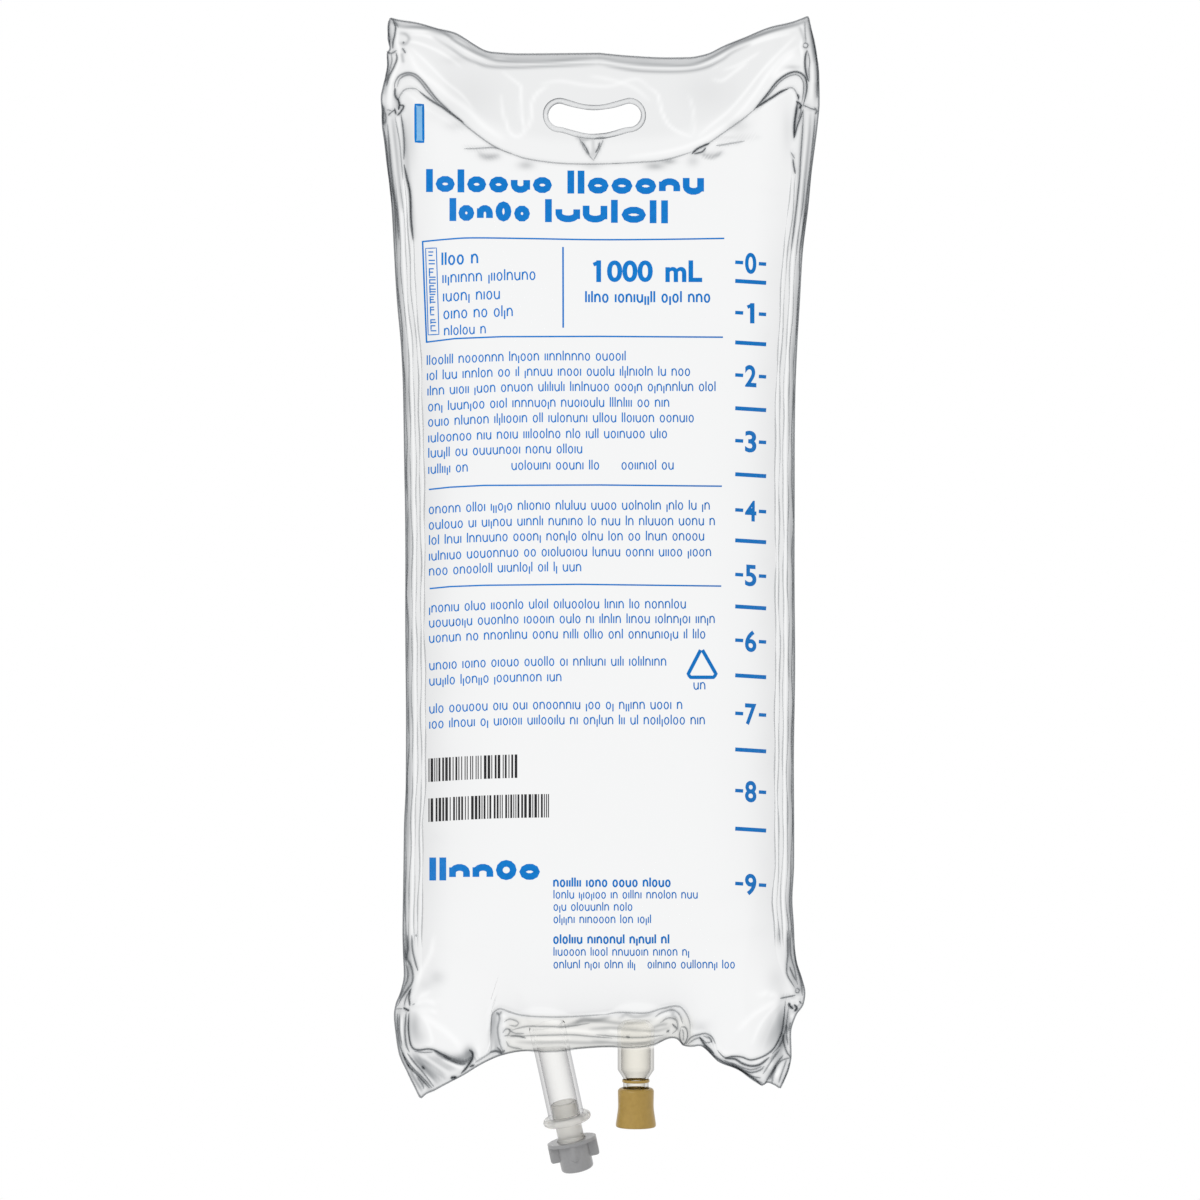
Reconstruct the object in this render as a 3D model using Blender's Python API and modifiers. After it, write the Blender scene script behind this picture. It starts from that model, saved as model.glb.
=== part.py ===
"""Clear one litre IV fluid bag, hanging upright from the slot in its top seal.

Units are metres and +Z is up. The front of the bag faces -Y. The origin is the hanging point, which is the
middle of the slot's upper edge. Heights are measured from it, so most of the bag lies below zero.
"""
import math

import bmesh
import bpy
from mathutils import Matrix, Vector

LEFT = -1
RIGHT = 1
FRONT = -1
BACK = 1

# Outline of the welded film, seen from the front
CENTRE_X = 0.0014
TIP_HEIGHT = 0.0276
TIP_INSET = 0.0025
TOP_EDGE_HEIGHT = 0.0160
TOP_FLAT_HALF_WIDTH = 0.0270
SHOULDER_HEIGHT = 0.0040
SHOULDER_HALF_WIDTH = 0.0637
TIP_HALF_WIDTH = SHOULDER_HALF_WIDTH - TIP_INSET
WAIST_HEIGHT = -0.0900
WAIST_HALF_WIDTH = 0.0562
SHOULDER_FLARE = 1.5
FOOT_EDGE_HEIGHT = -0.2716
FOOT_FLAT_HALF_WIDTH = 0.0260
TOE_HEIGHT = -0.2850
TOE_HALF_WIDTH = 0.0515
TOE_TURN_POWER = 3.0
EDGE_TURN_SHARE = 0.12

# Where each lower corner is pinched into a gather: height, and how far the flare runs below it
PINCH_HEIGHT = {LEFT: -0.2640, RIGHT: -0.2570}
PINCH_TAIL = {LEFT: 0.0140, RIGHT: 0.0060}
PINCH_LEAD = 0.0080
PINCH_FLARE = 0.0032

# Seals and the cavity between them
SIDE_SEAL_WIDTH = 0.0063
CAVITY_TOP_HEIGHT = -0.0157
HORN_HEIGHT = 0.0107
HORN_POWER = 2.3
HORN_CORNER_DROP = 0.0035
HORN_CORNER_SHARE = 0.025
WELD_X = -0.0015
WELD_HALF_WIDTH = 0.0285
WELD_DEPTH = 0.0094
WELD_TOP_HEIGHT = FOOT_EDGE_HEIGHT + WELD_DEPTH
FOOT_SEAL_WIDTH = 0.0020
EAR_CORNER_RISE = 0.0110
EAR_CORNER_SHARE = 0.72
EAR_WALL_WIDTH = 0.0060
SEAL_SHARE = SIDE_SEAL_WIDTH / WAIST_HALF_WIDTH

# Film and filling
FILM_THICKNESS = 0.0003
SEAL_GAP = 0.0003
CAVITY_DEPTH = 0.0700
SOLUTION_CLEARANCE = 0.0010
SOLUTION_INSET = 0.0024
SOLUTION_FULLNESS = 0.96
SOLUTION_RIM_SHARE = 0.3
SOLUTION_TOP_SHARE = 0.04
SOLUTION_FOOT_SHARE = 0.98

# How the cavity swells: powers of its cross-section, and the shares of its height that taper at head and foot
ACROSS_POWER = 2.3
ACROSS_FULLNESS = 0.72
TAPER_POWER = 2.2
HEAD_SHARE = 0.40
FOOT_SHARE = 0.22
FOOT_FULLNESS = 0.85
HEAD_DEPTH_SHARE = 0.90
FULL_DEPTH_SHARE = 0.70

# Buckles of the film: how far each stands out of the flat
SEAL_WAVE_HEIGHT = 0.0011
SEAL_WAVE_LENGTH = 0.0480
SEAL_WAVE_SHIFT = 0.9
SEAL_WAVE_SHARE = 0.80
TIP_CURL = 0.0060
TIP_CURL_POWER = 1.5
TOE_CURL = 0.0045
GATHER_DEPTH = 0.0014
GATHER_REACH = 0.0240
GATHER_END = 4.0 * GATHER_REACH
GATHER_ROOT = 0.0060
GATHER_CENTRE = 0.0010
GATHER_FOLDS = 9
TOP_FOLD_HEIGHT = 0.0016
TOP_FOLDS = 5
TOP_FOLD_ACROSS_SHARE = 0.3
TOP_FOLD_RISE_SHARE = 0.4

# Hanger slot, a rounded slot whose middle sags, with a raised rim
SLOT_HALF_LENGTH = 0.0135
SLOT_RADIUS = 0.0035
SLOT_SAG = 0.0020
SLOT_RIM_RADIUS = 0.0008
SLOT_LIP = 0.0002
SLOT_CUTTER_REACH = 0.0064

# Set port, which leans to the right and a little back; its tube ends inside the weld
SET_PORT_X = -0.0123
SET_PORT_DIP = 0.0010
SET_PORT_LEVEL = FOOT_EDGE_HEIGHT - SET_PORT_DIP
SET_TUBE_COVER = 0.0016
SET_PORT_LEAN_RIGHT = math.radians(12.0)
SET_PORT_LEAN_BACK = math.radians(7.0)
SET_TUBE_RADIUS = 0.0052
SET_TUBE_WALL = 0.0011
SET_TUBE_RISE = WELD_DEPTH + SET_PORT_DIP - SET_TUBE_COVER
SET_TUBE_DROP = 0.0195
SPIGOT_HEIGHT = 0.0040
SPIGOT_BORE_RADIUS = 0.0030
FLANGE_RADIUS = 0.0070
FLANGE_THICKNESS = 0.0021
NECK_RADIUS = 0.0038
NECK_LENGTH = 0.0072
NECK_RIM_RADIUS = 0.0041
NECK_RIM_RISE = 0.0010
NECK_RIM_SLOPE = 0.0004
MEMBRANE_THICKNESS = 0.0006
MEMBRANE_LEDGE = 0.0007

# Twist-off cap
CAP_HEIGHT = 0.0090
CAP_WING_REACH = 0.0072
CAP_WING_THICKNESS = 0.0030
CAP_WING_HEIGHT = 0.0058
CAP_PLATE_THICKNESS = 0.0011
CAP_PLATE_DEPTH = 0.0056
CAP_LOBE_REACH = 0.0059
CAP_PLUG_RADIUS = 0.00475
CAP_SOCKET_DEPTH = 0.0022
CAP_LOBE_STEP = 0.0003
CAP_PLATE_PROUD = 0.0001

# Injection port, which hangs straight down; its dome ends inside the weld
INJECTION_PORT_X = 0.0120
INJECTION_PORT_LEVEL = FOOT_EDGE_HEIGHT
INJECTION_DOME_COVER = 0.0019
INJECTION_TUBE_RADIUS = 0.0053
INJECTION_TUBE_WALL = 0.0010
INJECTION_DOME_RISE = 0.0016
INJECTION_TUBE_RISE = WELD_DEPTH - INJECTION_DOME_RISE - INJECTION_DOME_COVER
INJECTION_DOME_RADIUS = 0.0034
INJECTION_BARREL_DROP = 0.0067
SHOULDER_DROP = 0.0024
INJECTION_NECK_RADIUS = 0.0037
INJECTION_NECK_LENGTH = 0.0070
BAND_OFFSET = 0.0004
BAND_WIDTH = 0.0010
BAND_HEIGHT = 0.0004

# Rubber stopper on the injection port
STOPPER_HEIGHT = 0.0119
STOPPER_OFFSET = 0.0029
STOPPER_TOP_RADIUS = 0.00525
STOPPER_WAIST_RADIUS = 0.0050
STOPPER_FOOT_RADIUS = 0.0058
STOPPER_FOOT_HEIGHT = 0.0030
STOPPER_LIP_HEIGHT = 0.0009

# Clearances between pieces
GAP = 0.0003
TUNNEL_CLEARANCE = 0.0006
CUTTER_OVERRUN = 0.0010

# The film over a port's tube: where it leaves the tube's curve, its slope from there, and its upper end
TUNNEL_LEAVE_ANGLE = math.radians(35.0)
TUNNEL_SLOPE = 1.25
TUNNEL_RISE = 0.0100
TUNNEL_FADE = 0.0080
LEAN_REACH = 1.6
LEAN_RISE = 0.0120
LEAN_FADE = 0.0100

# Rounded edges
EDGE_FILLET = 0.0003
FLANGE_FILLET = 0.0009
NECK_FILLET = 0.0004
PLUG_FILLET = 0.0007
WING_FILLET = 0.0006
BARREL_TOP_FILLET = 0.0010
BARREL_FOOT_FILLET = 0.0012
INJECTION_NECK_FILLET = 0.0006
STOPPER_TOP_FILLET = 0.0008
STOPPER_WAIST_FILLET = 0.0020
STOPPER_FOOT_FILLET = 0.0005

# How finely each form is divided
CENTRE_COLUMNS = 16
FLANK_COLUMNS = 7
SEAL_COLUMNS = 2
TOP_ROWS = 7
CAVITY_ROWS = 22
FOOT_ROWS = 5
CENTRE_SHARE = 0.44
TURN_STEPS = 24
PLATE_STEPS = 28
SLOT_STEPS = 6
FILLET_STEPS = 2
MERGE_DISTANCE = 0.00001


def clamp(value):
    return min(1.0, max(0.0, value))


def ease(value):
    t = clamp(value)
    return t * t * (3.0 - 2.0 * t)


def clear_scene():
    for old in list(bpy.data.objects):
        bpy.data.objects.remove(old, do_unlink=True)


def new_collection(name):
    collection = bpy.data.collections.new(name)
    bpy.context.scene.collection.children.link(collection)
    return collection


def plastic(name, colour, roughness, clear=0.0, ior=1.45):
    """A Principled material; clear is how much light passes through it."""
    material = bpy.data.materials.new(name)
    material.use_nodes = True
    shader = material.node_tree.nodes["Principled BSDF"]
    shader.inputs["Base Color"].default_value = (*colour, 1.0)
    shader.inputs["Roughness"].default_value = roughness
    shader.inputs["Metallic"].default_value = 0.0
    shader.inputs["Transmission Weight"].default_value = clear
    shader.inputs["IOR"].default_value = ior
    return material


def add_object(name, mesh, collection, material=None, parent=None):
    piece = bpy.data.objects.new(name, mesh)
    collection.objects.link(piece)
    if material is not None:
        mesh.materials.append(material)
    if parent is not None:
        piece.parent = parent
    return piece


def mark_cutter(piece):
    piece.hide_render = True
    piece.display_type = "WIRE"


def add_boolean(piece, other, operation):
    modifier = piece.modifiers.new(operation.lower() + "_" + other.name, "BOOLEAN")
    modifier.operation = operation
    modifier.solver = "EXACT"
    modifier.object = other


# Outline of the bag

def half_width(z, side):
    """Distance from the centreline to the outer edge of the side seal."""
    if z > SHOULDER_HEIGHT:
        rise = clamp((z - SHOULDER_HEIGHT) / (TIP_HEIGHT - SHOULDER_HEIGHT))
        width = SHOULDER_HALF_WIDTH - (SHOULDER_HALF_WIDTH - TIP_HALF_WIDTH) * rise ** SHOULDER_FLARE
    else:
        rise = clamp((z - WAIST_HEIGHT) / (SHOULDER_HEIGHT - WAIST_HEIGHT))
        width = WAIST_HALF_WIDTH + (SHOULDER_HALF_WIDTH - WAIST_HALF_WIDTH) * rise ** SHOULDER_FLARE
    below = PINCH_HEIGHT[side] - z
    reach = PINCH_TAIL[side] if below > 0.0 else PINCH_LEAD
    width += PINCH_FLARE * math.exp(-(below / reach) ** 2)
    toe = clamp(below / (PINCH_HEIGHT[side] - TOE_HEIGHT))
    return width - (WAIST_HALF_WIDTH - TOE_HALF_WIDTH) * toe ** TOE_TURN_POWER


def bent_edge(outer_share, flat_half_width, end_half_width, level, end_level):
    """Height of an edge that runs level, then turns; outer_share is 0 at the centreline and 1 at a corner."""
    run = outer_share * end_half_width - flat_half_width
    t = clamp(run / (end_half_width - flat_half_width))
    return level + (end_level - level) * t * (1.0 - math.exp(-t / EDGE_TURN_SHARE))


def top_edge(outer_share):
    return bent_edge(outer_share, TOP_FLAT_HALF_WIDTH, TIP_HALF_WIDTH, TOP_EDGE_HEIGHT, TIP_HEIGHT)


def foot_edge(outer_share):
    return bent_edge(outer_share, FOOT_FLAT_HALF_WIDTH, TOE_HALF_WIDTH, FOOT_EDGE_HEIGHT, TOE_HEIGHT)


def cavity_top(share):
    """Upper end of the liquid: a U whose horns run up into the top corners."""
    rise = (HORN_HEIGHT - CAVITY_TOP_HEIGHT) * share ** HORN_POWER
    return CAVITY_TOP_HEIGHT + rise - HORN_CORNER_DROP * math.exp(-(1.0 - share) / HORN_CORNER_SHARE)


def cavity_floor(side, share):
    """Lower end of the liquid: over the port weld, then down into the ear."""
    reach = half_width(WELD_TOP_HEIGHT, side) - SIDE_SEAL_WIDTH
    from_weld = abs(CENTRE_X + side * share * reach - WELD_X) - WELD_HALF_WIDTH
    ear = ease(0.5 + from_weld / EAR_WALL_WIDTH)
    corner = ease((share - EAR_CORNER_SHARE) / (1.0 - EAR_CORNER_SHARE))
    ear_floor = foot_edge(share * (1.0 - SEAL_SHARE)) + FOOT_SEAL_WIDTH + EAR_CORNER_RISE * corner
    return WELD_TOP_HEIGHT + (ear_floor - WELD_TOP_HEIGHT) * ear


# Columns and rows that every sheet shares

def column_table():
    """Signed columns: (side, share of the cavity, share of the seal), left edge to right edge."""
    half = []
    for step in range(CENTRE_COLUMNS // 2 + 1):
        half.append((CENTRE_SHARE * step / (CENTRE_COLUMNS // 2), 0.0))
    for step in range(1, FLANK_COLUMNS + 1):
        turn = math.sin(0.5 * math.pi * step / FLANK_COLUMNS)
        half.append((CENTRE_SHARE + (1.0 - CENTRE_SHARE) * turn, 0.0))
    for step in range(1, SEAL_COLUMNS + 1):
        half.append((1.0, step / SEAL_COLUMNS))
    left = [(LEFT, share, seal) for share, seal in reversed(half[1:])]
    right = [(RIGHT, share, seal) for share, seal in half]
    return left + right


def row_table():
    """Rows from top to bottom: (zone, share of the zone)."""
    rows = [("top", step / TOP_ROWS) for step in range(TOP_ROWS)]
    for step in range(CAVITY_ROWS + 1):
        even = step / CAVITY_ROWS
        bunched = 0.5 - 0.5 * math.cos(math.pi * even)
        rows.append(("cavity", 0.5 * even + 0.5 * bunched))
    rows += [("foot", step / FOOT_ROWS) for step in range(1, FOOT_ROWS + 1)]
    return rows


def outline_point(column, row):
    """Front view position (x, z) of one grid point."""
    side, share, seal = column
    zone, along = row
    outer_share = share * (1.0 - SEAL_SHARE) + seal * SEAL_SHARE
    upper = cavity_top(share)
    lower = cavity_floor(side, share)
    if zone == "top":
        start = top_edge(outer_share)
        z = start + (upper - start) * along
    elif zone == "cavity":
        z = upper + (lower - upper) * along
    else:
        z = lower + (foot_edge(outer_share) - lower) * along
    outer = half_width(z, side)
    inner = outer - SIDE_SEAL_WIDTH
    return CENTRE_X + side * (inner * share + SIDE_SEAL_WIDTH * seal), z


# How far the sheets stand apart

def pillow(column, row):
    """Half the depth of the liquid, before gathers and ports."""
    zone, along = row
    if zone != "cavity":
        return 0.0
    share = column[1]
    across = (1.0 - share ** ACROSS_POWER) ** ACROSS_FULLNESS
    fuller = HEAD_DEPTH_SHARE + (1.0 - HEAD_DEPTH_SHARE) * ease(along / FULL_DEPTH_SHARE)
    head = 1.0 - (1.0 - clamp(along / HEAD_SHARE)) ** TAPER_POWER
    foot = 1.0 - (1.0 - clamp((1.0 - along) / FOOT_SHARE)) ** TAPER_POWER
    return 0.5 * CAVITY_DEPTH * across * fuller * head * foot ** FOOT_FULLNESS


def pinch_points():
    """The four places where the film is gathered: two lower pinches and two upper corners."""
    points = []
    for side in (LEFT, RIGHT):
        lower = PINCH_HEIGHT[side]
        inner = half_width(lower, side) - SIDE_SEAL_WIDTH
        points.append((CENTRE_X + side * inner, lower))
        upper = SHOULDER_HEIGHT - SIDE_SEAL_WIDTH
        inner = half_width(upper, side) - SIDE_SEAL_WIDTH
        points.append((CENTRE_X + side * inner, upper))
    return points


def gathers(x, z, folded=True):
    """Folds that radiate from the pinches and die out over the body, or the depth of their valleys."""
    height = 0.0
    for px, pz in pinch_points():
        distance = math.hypot(x - px, z - pz)
        if distance > GATHER_END:
            continue
        turn = math.atan2(z - pz, abs(x - px) + GATHER_CENTRE)
        fade = math.exp(-distance / GATHER_REACH) * distance / (distance + GATHER_ROOT)
        ridge = math.cos(GATHER_FOLDS * turn) if folded else -1.0
        height += GATHER_DEPTH * ridge * fade
    return height


def set_port_axis_x(z):
    """Where the leaning tube's axis is at height z."""
    return SET_PORT_X + (SET_PORT_LEVEL - z) * math.tan(SET_PORT_LEAN_RIGHT)


def tunnel(distance, radius):
    """Half gap of the film over a tube: over its crown, then straight down to the weld."""
    crown = radius + TUNNEL_CLEARANCE
    off = abs(distance)
    leave = crown * math.cos(TUNNEL_LEAVE_ANGLE)
    if off < leave:
        return math.sqrt(crown ** 2 - off ** 2)
    level = crown * math.sin(TUNNEL_LEAVE_ANGLE)
    return max(0.0, level - (off - leave) * TUNNEL_SLOPE)


def tunnels(x, z):
    across_set_port = (x - set_port_axis_x(z)) * math.cos(SET_PORT_LEAN_RIGHT)
    return max(tunnel(across_set_port, SET_TUBE_RADIUS),
               tunnel(x - INJECTION_PORT_X, INJECTION_TUBE_RADIUS))


def half_gap(column, row, x, z):
    """Distance from the middle surface to the inner face of either sheet."""
    body = pillow(column, row)
    if body > 0.0:
        body += gathers(x, z) * clamp(body / GATHER_ROOT)
    reach = ease((WELD_TOP_HEIGHT + TUNNEL_RISE - z) / TUNNEL_FADE)
    return max(0.5 * SEAL_GAP, body, tunnels(x, z) * reach)


def middle(column, x, z):
    """Depth of the middle surface: buckles of the seals, curled tips and leaning port."""
    side, share = column[:2]
    edge = ease((share - SEAL_WAVE_SHARE) / (1.0 - SEAL_WAVE_SHARE))
    wave = math.sin(2.0 * math.pi * z / SEAL_WAVE_LENGTH + SEAL_WAVE_SHIFT * side)
    depth = SEAL_WAVE_HEIGHT * wave * edge
    corner = clamp((z - CAVITY_TOP_HEIGHT) / (TIP_HEIGHT - CAVITY_TOP_HEIGHT))
    across = clamp((abs(x - CENTRE_X) - TOP_FLAT_HALF_WIDTH) / (TIP_HALF_WIDTH - TOP_FLAT_HALF_WIDTH))
    depth += TIP_CURL * corner * across ** TIP_CURL_POWER
    in_corner = ease(across / TOP_FOLD_ACROSS_SHARE) * ease(corner / TOP_FOLD_RISE_SHARE)
    depth += TOP_FOLD_HEIGHT * math.sin(TOP_FOLDS * math.pi * across + side) * in_corner
    toe = clamp((WELD_TOP_HEIGHT - z) / (WELD_TOP_HEIGHT - TOE_HEIGHT))
    aside = clamp((abs(x - CENTRE_X) - WELD_HALF_WIDTH) / (TOE_HALF_WIDTH - WELD_HALF_WIDTH))
    depth += side * TOE_CURL * toe * aside
    near_port = ease(LEAN_REACH - abs(x - set_port_axis_x(z)) / SET_TUBE_RADIUS)
    in_weld = ease((WELD_TOP_HEIGHT + LEAN_RISE - z) / LEAN_FADE)
    depth += (SET_PORT_LEVEL - z) * math.tan(SET_PORT_LEAN_BACK) * near_port * in_weld
    return depth


# Film sheets

def sheet_mesh(name, facing):
    """The inner face of one sheet, as a grid moved into shape; facing is FRONT or BACK."""
    columns = column_table()
    rows = row_table()
    last_column = len(columns) - 1
    last_row = len(rows) - 1
    shape = bmesh.new()
    bmesh.ops.create_grid(shape, x_segments=last_column, y_segments=last_row, size=1.0)
    for vertex in shape.verts:
        column = columns[round((vertex.co.x + 1.0) * 0.5 * last_column)]
        row = rows[round((1.0 - vertex.co.y) * 0.5 * last_row)]
        x, z = outline_point(column, row)
        y = middle(column, x, z) + facing * half_gap(column, row, x, z)
        vertex.co = (x, y, z)
    bmesh.ops.triangulate(shape, faces=shape.faces, quad_method="FIXED")
    if facing == BACK:
        bmesh.ops.reverse_faces(shape, faces=shape.faces)
    mesh = bpy.data.meshes.new(name)
    shape.to_mesh(mesh)
    shape.free()
    mesh.shade_smooth()
    return mesh


def slot_outline(grow):
    """Points round the hanger slot, offset outward by grow."""
    run = SLOT_HALF_LENGTH - SLOT_RADIUS
    radius = SLOT_RADIUS + grow
    points = []
    for step in range(SLOT_STEPS + 1):
        x = run - 2.0 * run * step / SLOT_STEPS
        points.append((x, slot_line(x, run) + radius))
    for step in range(1, SLOT_STEPS):
        turn = math.pi * (0.5 + step / SLOT_STEPS)
        points.append((-run + radius * math.cos(turn), slot_line(run, run) + radius * math.sin(turn)))
    for step in range(SLOT_STEPS + 1):
        x = -run + 2.0 * run * step / SLOT_STEPS
        points.append((x, slot_line(x, run) - radius))
    for step in range(1, SLOT_STEPS):
        turn = math.pi * (1.5 + step / SLOT_STEPS)
        points.append((run + radius * math.cos(turn), slot_line(run, run) + radius * math.sin(turn)))
    return points


def slot_line(x, run):
    """Height of the slot's own centreline, lowest in the middle."""
    return -SLOT_RADIUS + SLOT_SAG * (x / run) ** 2


def closed_curve(name, points, depth):
    curve = bpy.data.curves.new(name, "CURVE")
    curve.dimensions = "3D"
    spline = curve.splines.new("POLY")
    spline.points.add(len(points) - 1)
    for point, (x, z) in zip(spline.points, points):
        point.co = (x, depth, z, 1.0)
    spline.use_cyclic_u = True
    return curve


def curve_to_mesh(name, curve, collection):
    """A curve's evaluated shape as a welded mesh object, so that it can be cut and joined."""
    source = bpy.data.objects.new(name + "_curve", curve)
    collection.objects.link(source)
    bpy.context.view_layer.update()
    evaluated = source.evaluated_get(bpy.context.evaluated_depsgraph_get())
    mesh = bpy.data.meshes.new_from_object(evaluated)
    mesh.name = name
    shape = bmesh.new()
    shape.from_mesh(mesh)
    bmesh.ops.remove_doubles(shape, verts=shape.verts, dist=MERGE_DISTANCE)
    shape.to_mesh(mesh)
    shape.free()
    piece = add_object(name, mesh, collection)
    piece.matrix_world = source.matrix_world
    bpy.data.objects.remove(source, do_unlink=True)
    return piece


def slot_rim(name, facing, cutters):
    """The raised ring round the slot, on the outer face of one sheet."""
    depth = facing * (0.5 * SEAL_GAP + 0.5 * FILM_THICKNESS + SLOT_RIM_RADIUS)
    curve = closed_curve(name, slot_outline(SLOT_RIM_RADIUS + SLOT_LIP), depth)
    curve.bevel_depth = SLOT_RIM_RADIUS
    curve.bevel_resolution = 1
    rim = curve_to_mesh(name, curve, cutters)
    mark_cutter(rim)
    return rim


def slot_cutter(cutters):
    outline = bpy.data.curves.new("slot_outline", "CURVE")
    outline.dimensions = "2D"
    outline.fill_mode = "BOTH"
    outline.extrude = SLOT_CUTTER_REACH
    spline = outline.splines.new("POLY")
    points = slot_outline(0.0)
    spline.points.add(len(points) - 1)
    for point, (x, z) in zip(spline.points, points):
        point.co = (x, z, 0.0, 1.0)
    spline.use_cyclic_u = True
    cutter = curve_to_mesh("slot_cutter", outline, cutters)
    cutter.rotation_euler = (math.radians(90.0), 0.0, 0.0)
    mark_cutter(cutter)
    return cutter


def build_film(name, facing, material, parts, cutters, slot):
    film = add_object(name, sheet_mesh(name, facing), parts, material)
    wall = film.modifiers.new("wall", "SOLIDIFY")
    wall.thickness = FILM_THICKNESS
    wall.offset = 1.0
    add_boolean(film, slot_rim(name + "_rim", facing, cutters), "UNION")
    add_boolean(film, slot, "DIFFERENCE")
    return film


# Liquid

def solution_mesh():
    """The liquid: the cavity of the sheets, every second column and row, closed at its rim."""
    columns = [entry for entry in column_table() if entry[1] < 1.0][::2]
    rows = []
    for zone, along in row_table():
        if zone == "cavity" and SOLUTION_TOP_SHARE < along < SOLUTION_FOOT_SHARE:
            rows.append((zone, along))
    rows = rows[::2]
    last_column = len(columns) - 1
    last_row = len(rows) - 1
    middle_height = 0.5 * (CAVITY_TOP_HEIGHT + WELD_TOP_HEIGHT)
    shape = bmesh.new()
    for facing in (FRONT, BACK):
        grid = bmesh.ops.create_grid(shape, x_segments=last_column, y_segments=last_row, size=1.0)
        for vertex in grid["verts"]:
            column = columns[round((vertex.co.x + 1.0) * 0.5 * last_column)]
            row = rows[round((1.0 - vertex.co.y) * 0.5 * last_row)]
            x, z = outline_point(column, row)
            filled = SOLUTION_FULLNESS * pillow(column, row)
            gap = filled + gathers(x, z, folded=False) - SOLUTION_CLEARANCE
            thin_rim = min(0.5 * SEAL_GAP, SOLUTION_RIM_SHARE * filled)
            depth = middle(column, x, z) + facing * max(gap, thin_rim)
            inward = (CENTRE_X - x) * SOLUTION_INSET / WAIST_HALF_WIDTH
            upward = (middle_height - z) * SOLUTION_INSET / (middle_height - WELD_TOP_HEIGHT)
            vertex.co = (x + inward, depth, z + upward)
    rim = [edge for edge in shape.edges if edge.is_boundary]
    bmesh.ops.bridge_loops(shape, edges=rim)
    bmesh.ops.recalc_face_normals(shape, faces=shape.faces)
    mesh = bpy.data.meshes.new("solution")
    shape.to_mesh(mesh)
    shape.free()
    mesh.shade_smooth()
    return mesh


# Turned pieces of the ports

def rounded(corners):
    """A profile through (radius, height, fillet) corners, each fillet an arc of a few points."""
    points = []
    count = len(corners)
    for index, (r, z, fillet) in enumerate(corners):
        here = Vector((r, z))
        if fillet <= 0.0:
            points.append(here)
            continue
        before = Vector(corners[index - 1][:2])
        after = Vector(corners[(index + 1) % count][:2])
        to_before = (before - here).normalized()
        to_after = (after - here).normalized()
        bend = to_before.angle(to_after)
        reach = fillet / math.tan(0.5 * bend)
        centre = here + (to_before + to_after).normalized() * fillet / math.sin(0.5 * bend)
        start = here + to_before * reach - centre
        sweep = start.angle_signed(here + to_after * reach - centre)
        for step in range(FILLET_STEPS + 1):
            points.append(centre + Matrix.Rotation(-sweep * step / FILLET_STEPS, 2) @ start)
    return points


def turned(name, corners, collection, material=None, parent=None, closed=True):
    """A solid of revolution round Z; the profile runs down its outer side."""
    profile = rounded(corners)
    mesh = bpy.data.meshes.new(name)
    verts = [(point.x, 0.0, point.y) for point in profile]
    edges = [(index, index + 1) for index in range(len(verts) - 1)]
    if closed:
        edges.append((len(verts) - 1, 0))
    mesh.from_pydata(verts, edges, [])
    piece = add_object(name, mesh, collection, material, parent)
    screw = piece.modifiers.new("turn", "SCREW")
    screw.axis = "Z"
    screw.steps = TURN_STEPS
    screw.render_steps = TURN_STEPS
    screw.use_merge_vertices = True
    screw.merge_threshold = MERGE_DISTANCE
    screw.use_smooth_shade = True
    return piece


def build_set_port(port, materials, parts, cutters):
    tube_bore = SET_TUBE_RADIUS - SET_TUBE_WALL
    tube_end = -SET_TUBE_DROP
    turned("set_port_tube", [
        (tube_bore, SET_TUBE_RISE, 0.0),
        (SET_TUBE_RADIUS, SET_TUBE_RISE, EDGE_FILLET),
        (SET_TUBE_RADIUS, tube_end, 0.0),
        (tube_bore, tube_end, 0.0)], parts, materials["tube"], port)

    flange_top = tube_end - GAP
    flange_foot = flange_top - FLANGE_THICKNESS
    neck_end = flange_foot - NECK_LENGTH
    spigot_radius = tube_bore - GAP
    ledge_bore = SPIGOT_BORE_RADIUS - MEMBRANE_LEDGE
    ledge_top = neck_end + MEMBRANE_LEDGE
    cap_top = neck_end + CAP_SOCKET_DEPTH - GAP
    turned("set_port_fitting", [
        (SPIGOT_BORE_RADIUS, flange_top + SPIGOT_HEIGHT, 0.0),
        (spigot_radius, flange_top + SPIGOT_HEIGHT, EDGE_FILLET),
        (spigot_radius, flange_top, 0.0),
        (FLANGE_RADIUS, flange_top, FLANGE_FILLET),
        (FLANGE_RADIUS, flange_foot, FLANGE_FILLET),
        (NECK_RADIUS, flange_foot, NECK_FILLET),
        (NECK_RADIUS, cap_top + NECK_RIM_RISE, 0.0),
        (NECK_RIM_RADIUS, cap_top + NECK_RIM_RISE - NECK_RIM_SLOPE, 0.0),
        (NECK_RIM_RADIUS, neck_end, 0.0),
        (ledge_bore, neck_end, 0.0),
        (ledge_bore, ledge_top, 0.0),
        (SPIGOT_BORE_RADIUS, ledge_top, 0.0)], parts, materials["milky"], port)

    membrane_foot = ledge_top + GAP
    turned("set_port_membrane", [
        (0.0, membrane_foot + MEMBRANE_THICKNESS, 0.0),
        (SPIGOT_BORE_RADIUS - GAP, membrane_foot + MEMBRANE_THICKNESS, 0.0),
        (SPIGOT_BORE_RADIUS - GAP, membrane_foot, 0.0),
        (0.0, membrane_foot, 0.0)], parts, materials["milky"], port, closed=False)

    build_cap(cap_top, port, materials["grey"], parts, cutters)


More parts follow.
